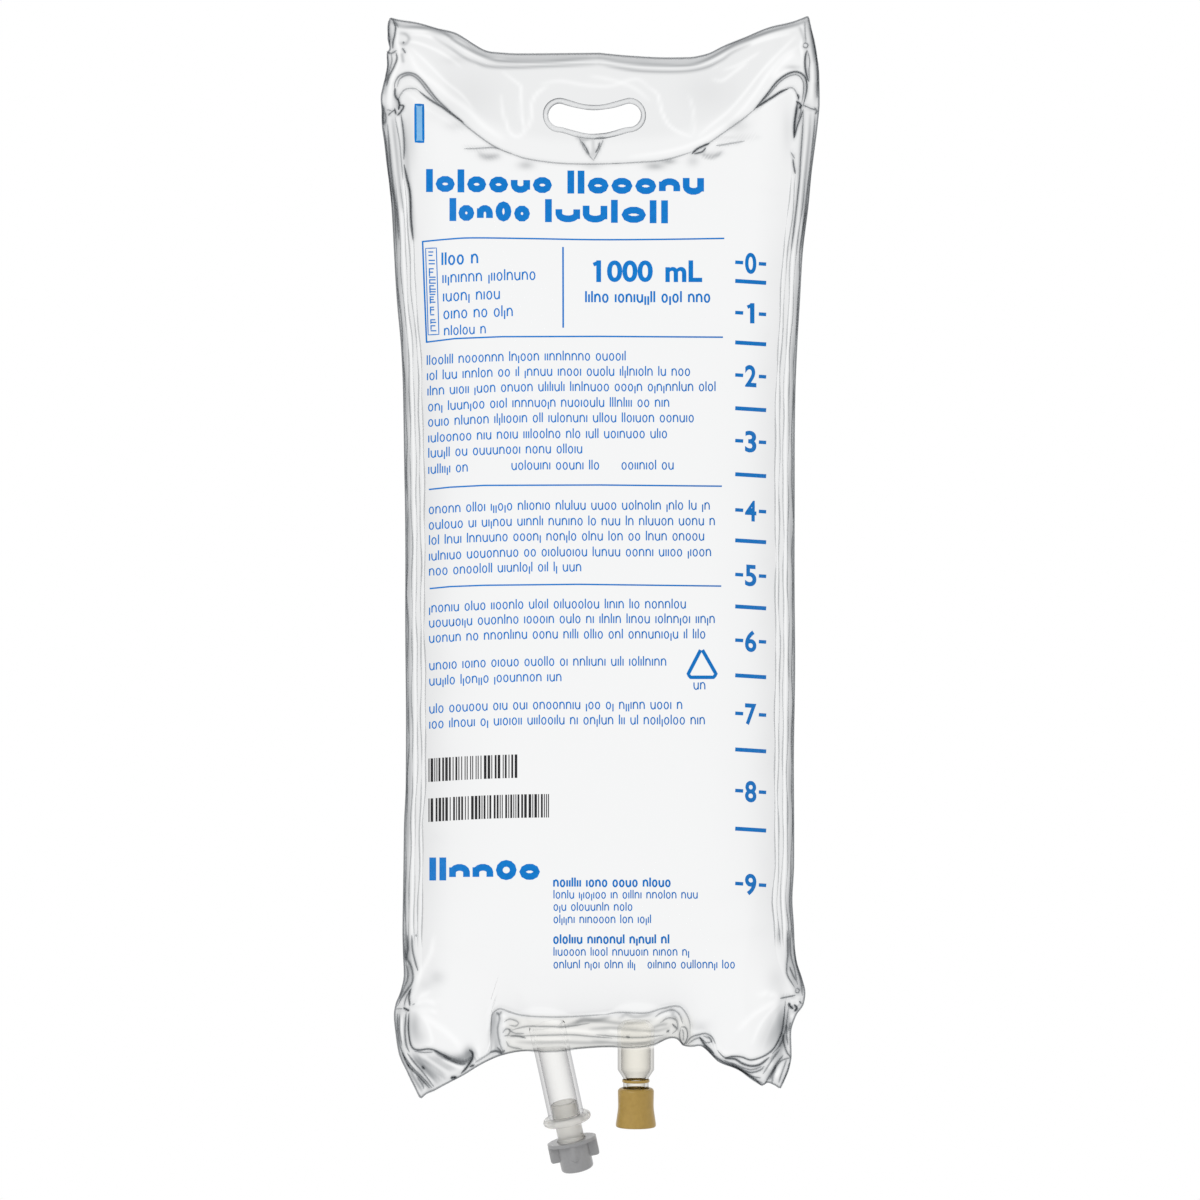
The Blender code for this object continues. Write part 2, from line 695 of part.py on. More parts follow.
def bar(name, size, centre, turn, fillet, collection, parent):
    """A box turned about Z with rounded edges, to be joined to another piece."""
    shape = bmesh.new()
    bmesh.ops.create_cube(shape, size=1.0)
    bmesh.ops.scale(shape, vec=size, verts=shape.verts)
    bmesh.ops.rotate(shape, matrix=Matrix.Rotation(turn, 3, "Z"), verts=shape.verts)
    bmesh.ops.translate(shape, vec=centre, verts=shape.verts)
    mesh = bpy.data.meshes.new(name)
    shape.to_mesh(mesh)
    shape.free()
    piece = add_object(name, mesh, collection, parent=parent)
    edge = piece.modifiers.new("edge", "BEVEL")
    edge.width = fillet
    edge.segments = FILLET_STEPS
    mark_cutter(piece)
    return piece


def build_cap(cap_top, port, material, parts, cutters):
    """A round plug with a socket, an oval plate on top, two wings and two smaller lobes."""
    cap_foot = cap_top - CAP_HEIGHT
    socket_radius = NECK_RIM_RADIUS + GAP
    cap = turned("set_port_cap", [
        (0.0, cap_top, 0.0),
        (CAP_PLUG_RADIUS, cap_top, EDGE_FILLET),
        (CAP_PLUG_RADIUS, cap_foot, PLUG_FILLET),
        (0.0, cap_foot, 0.0)], parts, material, port, closed=False)
    wings = bar("cap_wings", (2.0 * CAP_WING_REACH, CAP_WING_THICKNESS, CAP_WING_HEIGHT),
                (0.0, 0.0, cap_top - 0.5 * CAP_WING_HEIGHT), 0.0, WING_FILLET, cutters, port)
    side = CAP_LOBE_REACH * math.sqrt(2.0)
    lobes = bar("cap_lobes", (side, side, CAP_WING_HEIGHT - CAP_LOBE_STEP),
                (0.0, 0.0, cap_top - 0.5 * CAP_WING_HEIGHT), math.radians(45.0), PLUG_FILLET, cutters, port)
    plate = bmesh.new()
    bmesh.ops.create_cone(plate, cap_ends=True, segments=PLATE_STEPS, radius1=1.0, radius2=1.0, depth=1.0)
    plate_size = (CAP_WING_REACH, CAP_PLATE_DEPTH, CAP_PLATE_THICKNESS)
    bmesh.ops.scale(plate, vec=plate_size, verts=plate.verts)
    plate_height = cap_top - 0.5 * CAP_PLATE_THICKNESS + CAP_PLATE_PROUD
    bmesh.ops.translate(plate, vec=(0.0, 0.0, plate_height), verts=plate.verts)
    plate_mesh = bpy.data.meshes.new("cap_plate")
    plate.to_mesh(plate_mesh)
    plate.free()
    oval = add_object("cap_plate", plate_mesh, cutters, parent=port)
    mark_cutter(oval)
    socket = turned("cap_socket", [
        (0.0, cap_top + CUTTER_OVERRUN, 0.0),
        (socket_radius, cap_top + CUTTER_OVERRUN, 0.0),
        (socket_radius, cap_top - CAP_SOCKET_DEPTH, 0.0),
        (0.0, cap_top - CAP_SOCKET_DEPTH, 0.0)], cutters, parent=port, closed=False)
    mark_cutter(socket)
    add_boolean(cap, wings, "UNION")
    add_boolean(cap, lobes, "UNION")
    add_boolean(cap, oval, "UNION")
    add_boolean(cap, socket, "DIFFERENCE")


def build_injection_port(port, materials, parts):
    barrel_foot = -INJECTION_BARREL_DROP
    neck_top = barrel_foot - SHOULDER_DROP
    neck_end = neck_top - INJECTION_NECK_LENGTH
    dome_top = INJECTION_TUBE_RISE + INJECTION_DOME_RISE
    barrel_bore = INJECTION_TUBE_RADIUS - INJECTION_TUBE_WALL
    neck_bore = INJECTION_NECK_RADIUS - INJECTION_TUBE_WALL
    dome_bore = INJECTION_DOME_RADIUS - INJECTION_TUBE_WALL
    turned("injection_port_tube", [
        (dome_bore, dome_top, 0.0),
        (INJECTION_DOME_RADIUS, dome_top, 0.0),
        (INJECTION_TUBE_RADIUS, INJECTION_TUBE_RISE, BARREL_TOP_FILLET),
        (INJECTION_TUBE_RADIUS, barrel_foot, BARREL_FOOT_FILLET),
        (INJECTION_NECK_RADIUS, neck_top, INJECTION_NECK_FILLET),
        (INJECTION_NECK_RADIUS, neck_end, 0.0),
        (neck_bore, neck_end, 0.0),
        (neck_bore, neck_top, 0.0),
        (barrel_bore, barrel_foot, 0.0),
        (barrel_bore, INJECTION_TUBE_RISE - INJECTION_TUBE_WALL, 0.0)], parts, materials["amber"], port)

    band_top = neck_top - BAND_OFFSET
    band_bore = INJECTION_NECK_RADIUS + GAP
    turned("injection_port_band", [
        (band_bore, band_top, 0.0),
        (band_bore + BAND_HEIGHT, band_top, 0.0),
        (band_bore + BAND_HEIGHT, band_top - BAND_WIDTH, 0.0),
        (band_bore, band_top - BAND_WIDTH, 0.0)], parts, materials["tan"], port)

    stopper_top = neck_top - STOPPER_OFFSET
    stopper_foot = stopper_top - STOPPER_HEIGHT
    socket_radius = INJECTION_NECK_RADIUS + GAP
    socket_foot = neck_end - GAP
    turned("injection_port_stopper", [
        (0.0, socket_foot, 0.0),
        (socket_radius, socket_foot, 0.0),
        (socket_radius, stopper_top, EDGE_FILLET),
        (STOPPER_TOP_RADIUS, stopper_top, STOPPER_TOP_FILLET),
        (STOPPER_WAIST_RADIUS, stopper_foot + STOPPER_FOOT_HEIGHT, STOPPER_WAIST_FILLET),
        (STOPPER_FOOT_RADIUS, stopper_foot + STOPPER_LIP_HEIGHT, STOPPER_FOOT_FILLET),
        (STOPPER_FOOT_RADIUS, stopper_foot, STOPPER_FOOT_FILLET),
        (0.0, stopper_foot, 0.0)], parts, materials["tan"], port, closed=False)


def port_empty(name, place, turn, collection):
    """The axis of a port: its children are modelled round the empty's own Z."""
    empty = bpy.data.objects.new(name, None)
    collection.objects.link(empty)
    empty.location = place
    empty.rotation_euler = turn
    return empty


def main():
    clear_scene()
    parts = new_collection("iv_fluid_bag")
    cutters = new_collection("cutters")
    materials = {
        "film": plastic("clear_film", (0.93, 0.94, 0.95), 0.08, 0.9, 1.40),
        "liquid": plastic("clear_liquid", (0.96, 0.97, 0.98), 0.0, 1.0, 1.33),
        "tube": plastic("clear_tube", (0.90, 0.91, 0.90), 0.15, 0.8),
        "milky": plastic("milky_plastic", (0.69, 0.66, 0.60), 0.30, 0.2),
        "amber": plastic("amber_tube", (0.88, 0.85, 0.76), 0.15, 0.7),
        "grey": plastic("grey_plastic", (0.31, 0.31, 0.32), 0.35),
        "tan": plastic("tan_rubber", (0.42, 0.26, 0.08), 0.45),
    }
    slot = slot_cutter(cutters)
    build_film("front_film", FRONT, materials["film"], parts, cutters, slot)
    build_film("back_film", BACK, materials["film"], parts, cutters, slot)
    add_object("solution", solution_mesh(), parts, materials["liquid"])

    set_port = port_empty("set_port_axis", (SET_PORT_X, 0.0, SET_PORT_LEVEL),
                          (SET_PORT_LEAN_BACK, -SET_PORT_LEAN_RIGHT, 0.0), parts)
    build_set_port(set_port, materials, parts, cutters)
    injection_port = port_empty("injection_port_axis", (INJECTION_PORT_X, 0.0, INJECTION_PORT_LEVEL),
                                (0.0, 0.0, 0.0), parts)
    build_injection_port(injection_port, materials, parts)


main()
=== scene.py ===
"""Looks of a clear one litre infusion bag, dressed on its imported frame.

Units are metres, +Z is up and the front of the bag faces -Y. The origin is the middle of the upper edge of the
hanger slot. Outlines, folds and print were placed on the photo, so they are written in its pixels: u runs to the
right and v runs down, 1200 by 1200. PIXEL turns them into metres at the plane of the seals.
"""
import math
from collections import namedtuple

import bmesh
import bpy
import numpy as np
from mathutils import Euler, Matrix, Vector


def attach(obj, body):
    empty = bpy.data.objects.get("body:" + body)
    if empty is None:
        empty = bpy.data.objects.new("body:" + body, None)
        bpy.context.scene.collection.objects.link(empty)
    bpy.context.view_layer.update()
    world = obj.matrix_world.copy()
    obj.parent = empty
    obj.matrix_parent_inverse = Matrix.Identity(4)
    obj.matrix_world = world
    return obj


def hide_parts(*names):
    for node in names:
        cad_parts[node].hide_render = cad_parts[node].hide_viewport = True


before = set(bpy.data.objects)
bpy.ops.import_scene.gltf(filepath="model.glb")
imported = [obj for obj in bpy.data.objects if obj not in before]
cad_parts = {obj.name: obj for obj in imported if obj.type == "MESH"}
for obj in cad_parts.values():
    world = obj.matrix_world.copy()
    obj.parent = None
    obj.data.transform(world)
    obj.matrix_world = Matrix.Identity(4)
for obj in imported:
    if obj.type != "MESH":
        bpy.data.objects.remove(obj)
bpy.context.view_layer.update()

LEFT = -1
RIGHT = 1
FRONT = -1
BACK = 1

# The photo's view: its size, the pixel where the origin lies, and the camera that sees it so
PHOTO_SIZE = 1200
PIXEL = 0.00029
ORIGIN_U = 594.5
ORIGIN_V = 110.0
CAMERA_DISTANCE = 1.15
SENSOR_WIDTH = 36.0
CAMERA_X = (0.5 * PHOTO_SIZE - ORIGIN_U) * PIXEL
CAMERA_Z = (ORIGIN_V - 0.5 * PHOTO_SIZE) * PIXEL

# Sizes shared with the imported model
CENTRE_X = 0.0014
CAVITY_DEPTH = 0.0700
SEAL_WAVE_HEIGHT = 0.0011
SEAL_WAVE_LENGTH = 0.0480
TIP_HEIGHT = 0.0276
TIP_HALF_WIDTH = 0.0612
TOP_FLAT_HALF_WIDTH = 0.0270
TIP_CURL = 0.0060
TOP_FOLD_HEIGHT = 0.0016
TOE_HEIGHT = -0.2850
TOE_HALF_WIDTH = 0.0515
TOE_CURL = 0.0045
CAVITY_TOP_HEIGHT = -0.0157
WELD_TOP_HEIGHT = -0.2622
WELD_HALF_WIDTH = 0.0285
SET_PORT_X = -0.0123
SET_PORT_LEVEL = -0.2726
SET_PORT_LEAN_RIGHT = math.radians(12.0)
SET_PORT_LEAN_BACK = math.radians(7.0)
SET_TUBE_RADIUS = 0.0052
INJECTION_PORT_X = 0.0120
INJECTION_PORT_LEVEL = -0.2716
INJECTION_TUBE_RADIUS = 0.0053
TUNNEL_CLEARANCE = 0.0006
SLOT_HALF_LENGTH = 0.0135
SLOT_RADIUS = 0.0035
SLOT_SAG = 0.0020
SLOT_EVENNESS = 1.35

# The pouch fills up over FOOT_REACH pixels from its floor line and over HEAD_SHARE of its height from the top
FOOT_REACH = 186.0
FOOT_ROUNDNESS = 0.85
HEAD_SHARE = 0.40
HEAD_DEPTH = 0.90
FULL_FROM = 0.7
FILL_POWER = 2.2
CROWN_POWER = 2.5
CROWN_ROUNDNESS = 0.93
FLANK_FROM = 0.80

# The film leaves a tube at this angle and goes down to the weld at this slope. Tunnels and the lean of the set
# port end a little above the weld.
TUNNEL_LEAVE = math.radians(35.0)
TUNNEL_SLOPE = 1.25
TUNNEL_RISE = 0.010
TUNNEL_FADE = 0.008
LEAN_RISE = 0.012
LEAN_FADE = 0.010

# Rim of the slot, and the strip of the port weld that stands out
RING_OFFSET = 0.0007
RING_RADIUS = 0.0008
WELD_PUFF = 0.0022
WELD_PUFF_HALF_WIDTH = 0.0305
WELD_PUFF_SHIFT = 0.0035
WELD_PUFF_FADE = 0.004

# Outlines of the film and of the liquid, in photo pixels
LEFT_EDGE = (  # v, u
    (10, 390), (22, 387.6), (34, 387.2), (45, 389.2), (51, 386.5), (62, 387), (72, 385.8), (85, 382.9), (97, 381),
    (108, 382), (124, 382.6), (143, 385.3), (166, 387.9), (182, 390), (205, 392.2), (252, 395), (300, 398),
    (348, 402), (396, 404), (516, 406), (650, 406.5), (780, 407), (828, 405), (888, 404), (930, 403.6),
    (955, 404.3), (974, 405), (992, 401.4), (1005, 396.3), (1015, 394.8), (1036, 397), (1052, 399.9),
    (1071, 408.7), (1095, 421.2), (1105, 426))
RIGHT_EDGE = (  # v, u
    (10, 807.4), (28, 811.2), (54, 816.5), (74, 818.8), (100, 819.1), (121, 817.3), (150, 813.5), (173, 810.4),
    (205, 807.5), (252, 802), (300, 799), (348, 796), (396, 794.4), (516, 793.5), (650, 794), (780, 793),
    (864, 793), (900, 791.5), (924, 793), (948, 794), (960, 795.4), (979, 801.2), (992, 804.2), (1003, 802.7),
    (1014, 795.4), (1033, 790.2), (1057, 791), (1070, 788.8), (1090, 780.7), (1100, 776))
SEAL_BAND = (  # v, width in pixels
    (10, 15), (60, 15), (84, 13), (105, 15), (150, 21), (200, 19), (260, 17.5), (930, 17.5), (985, 15), (1005, 12),
    (1045, 11), (1100, 9))
TOP_EDGE_LEFT = (  # u, v
    (599.3, 54), (518.5, 54.6), (494, 53), (475.4, 45.9), (452.5, 32.3), (432.4, 26.3), (411, 21), (400, 18),
    (390, 15))
TOP_EDGE_RIGHT = (
    (599.3, 54), (626.7, 56.6), (666.5, 58.6), (688, 58.4), (708, 54.5), (723, 47.7), (743, 37.9), (773.7, 26.4),
    (796, 19.4), (808, 15.4))
CAVITY_TOP_LEFT = (
    (599.3, 164.2), (576, 164), (554.3, 162.8), (525.6, 158.5), (511.3, 154.2), (494.1, 146.3), (478.3, 135.6),
    (464, 124.1), (452.5, 114), (442.4, 104), (432.4, 94), (425.2, 85.3), (418, 77.5), (410.9, 73.8),
    (404.5, 74.2), (398.5, 79))
CAVITY_TOP_RIGHT = (
    (599.3, 164.2), (620.6, 163.4), (657.4, 161.1), (684.9, 154.2), (703.3, 147.4), (724.7, 132), (743, 119),
    (756, 108.3), (766, 93.8), (778.3, 80), (787.5, 73.9), (795.9, 72.4), (802.5, 75.4), (805.6, 81))
CAVITY_FLOOR_LEFT = (
    (599.3, 1014.3), (565.7, 1016.5), (543.7, 1016.5), (521.7, 1015), (507, 1010.7), (499.7, 1008.5),
    (494.4, 1011.5), (491.8, 1018), (489.6, 1048), (486, 1055), (479, 1058.5), (471, 1052), (465.5, 1058),
    (458, 1060), (450, 1056.5), (438, 1052), (426, 1049), (416.5, 1049), (411, 1044), (408, 1034))
CAVITY_FLOOR_RIGHT = (
    (599.3, 1014.3), (619.3, 1012), (645.7, 1012.8), (663.3, 1007.7), (676.6, 1005.5), (684, 1009.9),
    (689, 1020), (692.5, 1032), (700, 1031), (707.5, 1034), (713, 1043), (722, 1056.8), (736.7, 1056),
    (744, 1058.3), (751.4, 1060), (761.6, 1055.4), (770.4, 1050), (776.5, 1040), (780, 1028))
FOOT_EDGE_LEFT = (
    (599.3, 1046.3), (570, 1048.4), (536.4, 1049.6), (521.7, 1050.3), (502.6, 1054), (489.4, 1059), (477.7, 1065),
    (463, 1073.8), (451.3, 1079.6), (443.9, 1083.3), (433.7, 1088.4), (427, 1091), (422, 1095))
FOOT_EDGE_RIGHT = (
    (599.3, 1046.3), (619.3, 1045.8), (653, 1043.6), (672, 1037), (677.5, 1038), (684, 1044.8), (691, 1045.8),
    (700, 1044.8), (707.4, 1049.5), (719, 1061.2), (736.7, 1068.5), (755.8, 1080.3), (763, 1086.2),
    (768, 1083.6), (774, 1085.6), (780.7, 1089.8))

# How finely the bag is divided; its rows start from FIRST_TOP and FIRST_FOOT and close in on the edges
CENTRE_COLUMNS = 100
FLANK_COLUMNS = 26
SEAL_COLUMNS = 18
CENTRE_SHARE = 0.80
TOP_ROWS = 54
CAVITY_ROWS = 158
FOOT_ROWS = 24
EDGE_PASSES = 8
FIRST_TOP = 54.0
FIRST_FOOT = 1050.0

# Film: half its thickness at the seals, and how far its cut edge is rounded
HALF_FILM = 0.00035
EDGE_ROUND = 0.00030

# The weld has a warm tint that fades out at its top and ends
WARM_FADE_DOWN = 0.002
WARM_FADE_ACROSS = 0.003


def clamp(values, low=0.0, high=1.0):
    return np.minimum(high, np.maximum(low, values))


def ease(values):
    t = clamp(values)
    return t * t * (3.0 - 2.0 * t)


def bell(distance, width):
    return np.exp(-(distance / width) ** 2)


def world_x(u):
    return (u - ORIGIN_U) * PIXEL


def world_z(v):
    return (ORIGIN_V - v) * PIXEL


def to_photo(x, y, z):
    """Photo pixel (u, v) in which the camera sees a point."""
    nearer = CAMERA_DISTANCE / (CAMERA_DISTANCE + y)
    u = 0.5 * PHOTO_SIZE + (x - CAMERA_X) * nearer / PIXEL
    v = 0.5 * PHOTO_SIZE - (z - CAMERA_Z) * nearer / PIXEL
    return u, v


def from_photo(u, v, y):
    """Point (x, z) that the camera sees in a photo pixel, at depth y."""
    farther = (CAMERA_DISTANCE + y) / CAMERA_DISTANCE
    x = CAMERA_X + (u - 0.5 * PHOTO_SIZE) * PIXEL * farther
    z = CAMERA_Z - (v - 0.5 * PHOTO_SIZE) * PIXEL * farther
    return x, z


class SmoothLine:
    """A smooth curve through given points, with no overshoot between them."""

    def __init__(self, points):
        ordered = sorted(points)
        self.at = np.array([point[0] for point in ordered], float)
        self.value = np.array([point[1] for point in ordered], float)
        self.step = np.diff(self.at)
        slope = np.diff(self.value) / self.step
        before, after = slope[:-1], slope[1:]
        same_way = before * after > 0.0
        total = np.where(same_way, before + after, 1.0)
        self.tangent = np.empty_like(self.value)
        self.tangent[1:-1] = np.where(same_way, 2.0 * before * after / total, 0.0)
        self.tangent[0] = slope[0]
        self.tangent[-1] = slope[-1]

    def __call__(self, at):
        index = np.clip(np.searchsorted(self.at, at) - 1, 0, len(self.step) - 1)
        step = self.step[index]
        t = clamp((at - self.at[index]) / step)
        from_start = (1.0 + 2.0 * t) * (1.0 - t) ** 2 * self.value[index]
        from_end = t * t * (3.0 - 2.0 * t) * self.value[index + 1]
        bend = t * (1.0 - t) * ((1.0 - t) * self.tangent[index] - t * self.tangent[index + 1])
        return from_start + from_end + bend * step


left_edge = SmoothLine(LEFT_EDGE)
right_edge = SmoothLine(RIGHT_EDGE)
seal_band = SmoothLine(SEAL_BAND)


def outer_width(z, side):
    """Distance from the centreline to the outer edge."""
    v = ORIGIN_V - z / PIXEL
    return np.where(side < 0, CENTRE_X - world_x(left_edge(v)), world_x(right_edge(v)) - CENTRE_X)


def band_width(z):
    return seal_band(ORIGIN_V - z / PIXEL) * PIXEL


def by_share(points, side, whole):
    """The curve as height over the share of the half width; whole says that the seal counts in it."""
    ordered = []
    for u, v in points:
        z = world_z(v)
        reach = float(outer_width(z, side)) - (0.0 if whole else float(band_width(z)))
        ordered.append((abs(world_x(u) - CENTRE_X) / reach, z))
    return SmoothLine(ordered)


def both_sides(left_points, right_points, whole):
    left_line = by_share(left_points, LEFT, whole)
    right_line = by_share(right_points, RIGHT, whole)

    def height(side, share):
        return np.where(side < 0, left_line(share), right_line(share))

    return height


top_edge = both_sides(TOP_EDGE_LEFT, TOP_EDGE_RIGHT, True)
cavity_top = both_sides(CAVITY_TOP_LEFT, CAVITY_TOP_RIGHT, False)
cavity_floor = both_sides(CAVITY_FLOOR_LEFT, CAVITY_FLOOR_RIGHT, False)
foot_edge = both_sides(FOOT_EDGE_LEFT, FOOT_EDGE_RIGHT, True)

Place = namedtuple("Place", "x z side share seal band upper lower along top foot")


def locate(x, z):
    """Where points of the front view lie in the outline."""
    side = np.where(x < CENTRE_X, LEFT, RIGHT)
    outer = outer_width(z, side)
    band = band_width(z)
    inner = outer - band
    off = np.abs(x - CENTRE_X)
    share = clamp(off / inner)
    seal = clamp((off - inner) / band)
    outer_share = clamp(off / outer)
    upper = cavity_top(side, share)
    lower = cavity_floor(side, share)
    along = clamp((upper - z) / (upper - lower))
    return Place(x, z, side, share, seal, band, upper, lower, along, top_edge(side, outer_share),
                 foot_edge(side, outer_share))


# Shape of the filled bag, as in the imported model

floor_path = np.array(CAVITY_FLOOR_LEFT[::-1] + CAVITY_FLOOR_RIGHT[1:], float)


def near_path(path, u, v):
    """Distance of points to a path, and the share of the path's length at the nearest place."""
    starts, ends = path[:-1], path[1:]
    runs = ends - starts
    lengths = np.hypot(runs[:, 0], runs[:, 1])
    before = np.concatenate(([0.0], np.cumsum(lengths)[:-1]))
    nearest = np.full(u.shape, 1e9)
    share = np.zeros(u.shape)
    for start, run, length, passed in zip(starts, runs, lengths, before):
        t = clamp(((u - start[0]) * run[0] + (v - start[1]) * run[1]) / max(length * length, 1e-9))
        distance = np.hypot(u - start[0] - t * run[0], v - start[1] - t * run[1])
        closer = distance < nearest
        nearest = np.where(closer, distance, nearest)
        share = np.where(closer, (passed + t * length) / lengths.sum(), share)
    return nearest, share


def foot_fullness(place):
    """How full the pouch is near its floor line, which runs up and over the port weld."""
    above = (place.z - place.lower) / PIXEL
    distance, _ = near_path(floor_path, ORIGIN_U + place.x / PIXEL, ORIGIN_V - place.z / PIXEL)
    rise = (1.0 - (1.0 - clamp(distance / FOOT_REACH)) ** FILL_POWER) ** FOOT_ROUNDNESS
    return rise * ease(above / 3.0)


def pillow(place):
    """Half the depth of the liquid."""
    across = (1.0 - place.share ** CROWN_POWER) ** CROWN_ROUNDNESS
    fuller = HEAD_DEPTH + (1.0 - HEAD_DEPTH) * ease(place.along / FULL_FROM)
    head = 1.0 - (1.0 - clamp(place.along / HEAD_SHARE)) ** FILL_POWER
    return 0.5 * CAVITY_DEPTH * across * fuller * head * foot_fullness(place)


def set_port_axis_x(z):
    return SET_PORT_X + (SET_PORT_LEVEL - z) * math.tan(SET_PORT_LEAN_RIGHT)


def tunnel(distance, radius):
    """Half gap of the film over a tube: round its crown, then sloping down to the weld."""
    crown = radius + TUNNEL_CLEARANCE
    off = np.abs(distance)
    leave = crown * math.cos(TUNNEL_LEAVE)
    over = np.sqrt(np.maximum(0.0, crown ** 2 - np.minimum(off, crown) ** 2))
    slope = crown * math.sin(TUNNEL_LEAVE) - (off - leave) * TUNNEL_SLOPE
    return np.where(off < leave, over, np.maximum(0.0, slope))


def tunnels(place):
    across = (place.x - set_port_axis_x(place.z)) * math.cos(SET_PORT_LEAN_RIGHT)
    both = np.maximum(tunnel(across, SET_TUBE_RADIUS), tunnel(place.x - INJECTION_PORT_X, INJECTION_TUBE_RADIUS))
    return both * ease((WELD_TOP_HEIGHT + TUNNEL_RISE - place.z) / TUNNEL_FADE)


def weld_puff(place):
    """The port weld stands out of the flat like a strip of poured glass."""
    height = np.maximum(place.lower - place.foot, 0.001)
    level = clamp((place.z - place.foot) / height)
    inside = ease((WELD_PUFF_HALF_WIDTH - np.abs(place.x - CENTRE_X + WELD_PUFF_SHIFT)) / WELD_PUFF_FADE)
    return WELD_PUFF * np.sqrt(clamp(4.0 * level * (1.0 - level))) * inside * (place.along >= 1.0)


def flank(place):
    """From 0 to 1 over the part of the bag that turns away at its sides."""
    return ease((place.share - FLANK_FROM) / (1.0 - FLANK_FROM))


def middle(place):
    """Depth of the surface midway between the sheets: buckled seals, curled tips and the leaning port."""
    x, z, side = place.x, place.z, place.side
    depth = SEAL_WAVE_HEIGHT * np.sin(2.0 * np.pi * z / SEAL_WAVE_LENGTH + 0.9 * side) * flank(place)
    corner = clamp((z - CAVITY_TOP_HEIGHT) / (TIP_HEIGHT - CAVITY_TOP_HEIGHT))
    across = clamp((np.abs(x - CENTRE_X) - TOP_FLAT_HALF_WIDTH) / (TIP_HALF_WIDTH - TOP_FLAT_HALF_WIDTH))
    depth += TIP_CURL * corner * across ** 1.5
    fold = np.sin(5.0 * np.pi * across + side) * ease(across / 0.3) * ease(corner / 0.4)
    depth += TOP_FOLD_HEIGHT * fold
    toe = clamp((WELD_TOP_HEIGHT - z) / (WELD_TOP_HEIGHT - TOE_HEIGHT))
    aside = clamp((np.abs(x - CENTRE_X) - WELD_HALF_WIDTH) / (TOE_HALF_WIDTH - WELD_HALF_WIDTH))
    depth += side * TOE_CURL * toe * aside
    near_port = ease(1.6 - np.abs(x - set_port_axis_x(z)) / SET_TUBE_RADIUS)
    in_weld = ease((WELD_TOP_HEIGHT + LEAN_RISE - z) / LEAN_FADE)
    depth += (SET_PORT_LEVEL - z) * math.tan(SET_PORT_LEAN_BACK) * near_port * in_weld
    return depth


def plain_gap(place):
    """Half the thickness of the bag before its folds."""
    return np.maximum(np.maximum(HALF_FILM + weld_puff(place), pillow(place)), tunnels(place))


# Folds and soft shadows of the film, placed on the photo. Each entry is half the width in pixels, how far the
# fold stands out in millimetres, its shade, and then the path as u, v, u, v and so on. A shade below zero is a
# highlight, and one from CRISP_SHADE up also gets a fine dark line.

Fold = namedtuple("Fold", "path width height shade")
Patch = namedtuple("Patch", "u v reach_u reach_v height shade")
CRISP_SHADE = 0.40
SOFT_UNDER_LINE = 0.4  # share of its shade that a fold keeps under its dark line
MESH_STEP = 1.8  # no fold of the film's own mesh is finer than this, in pixels

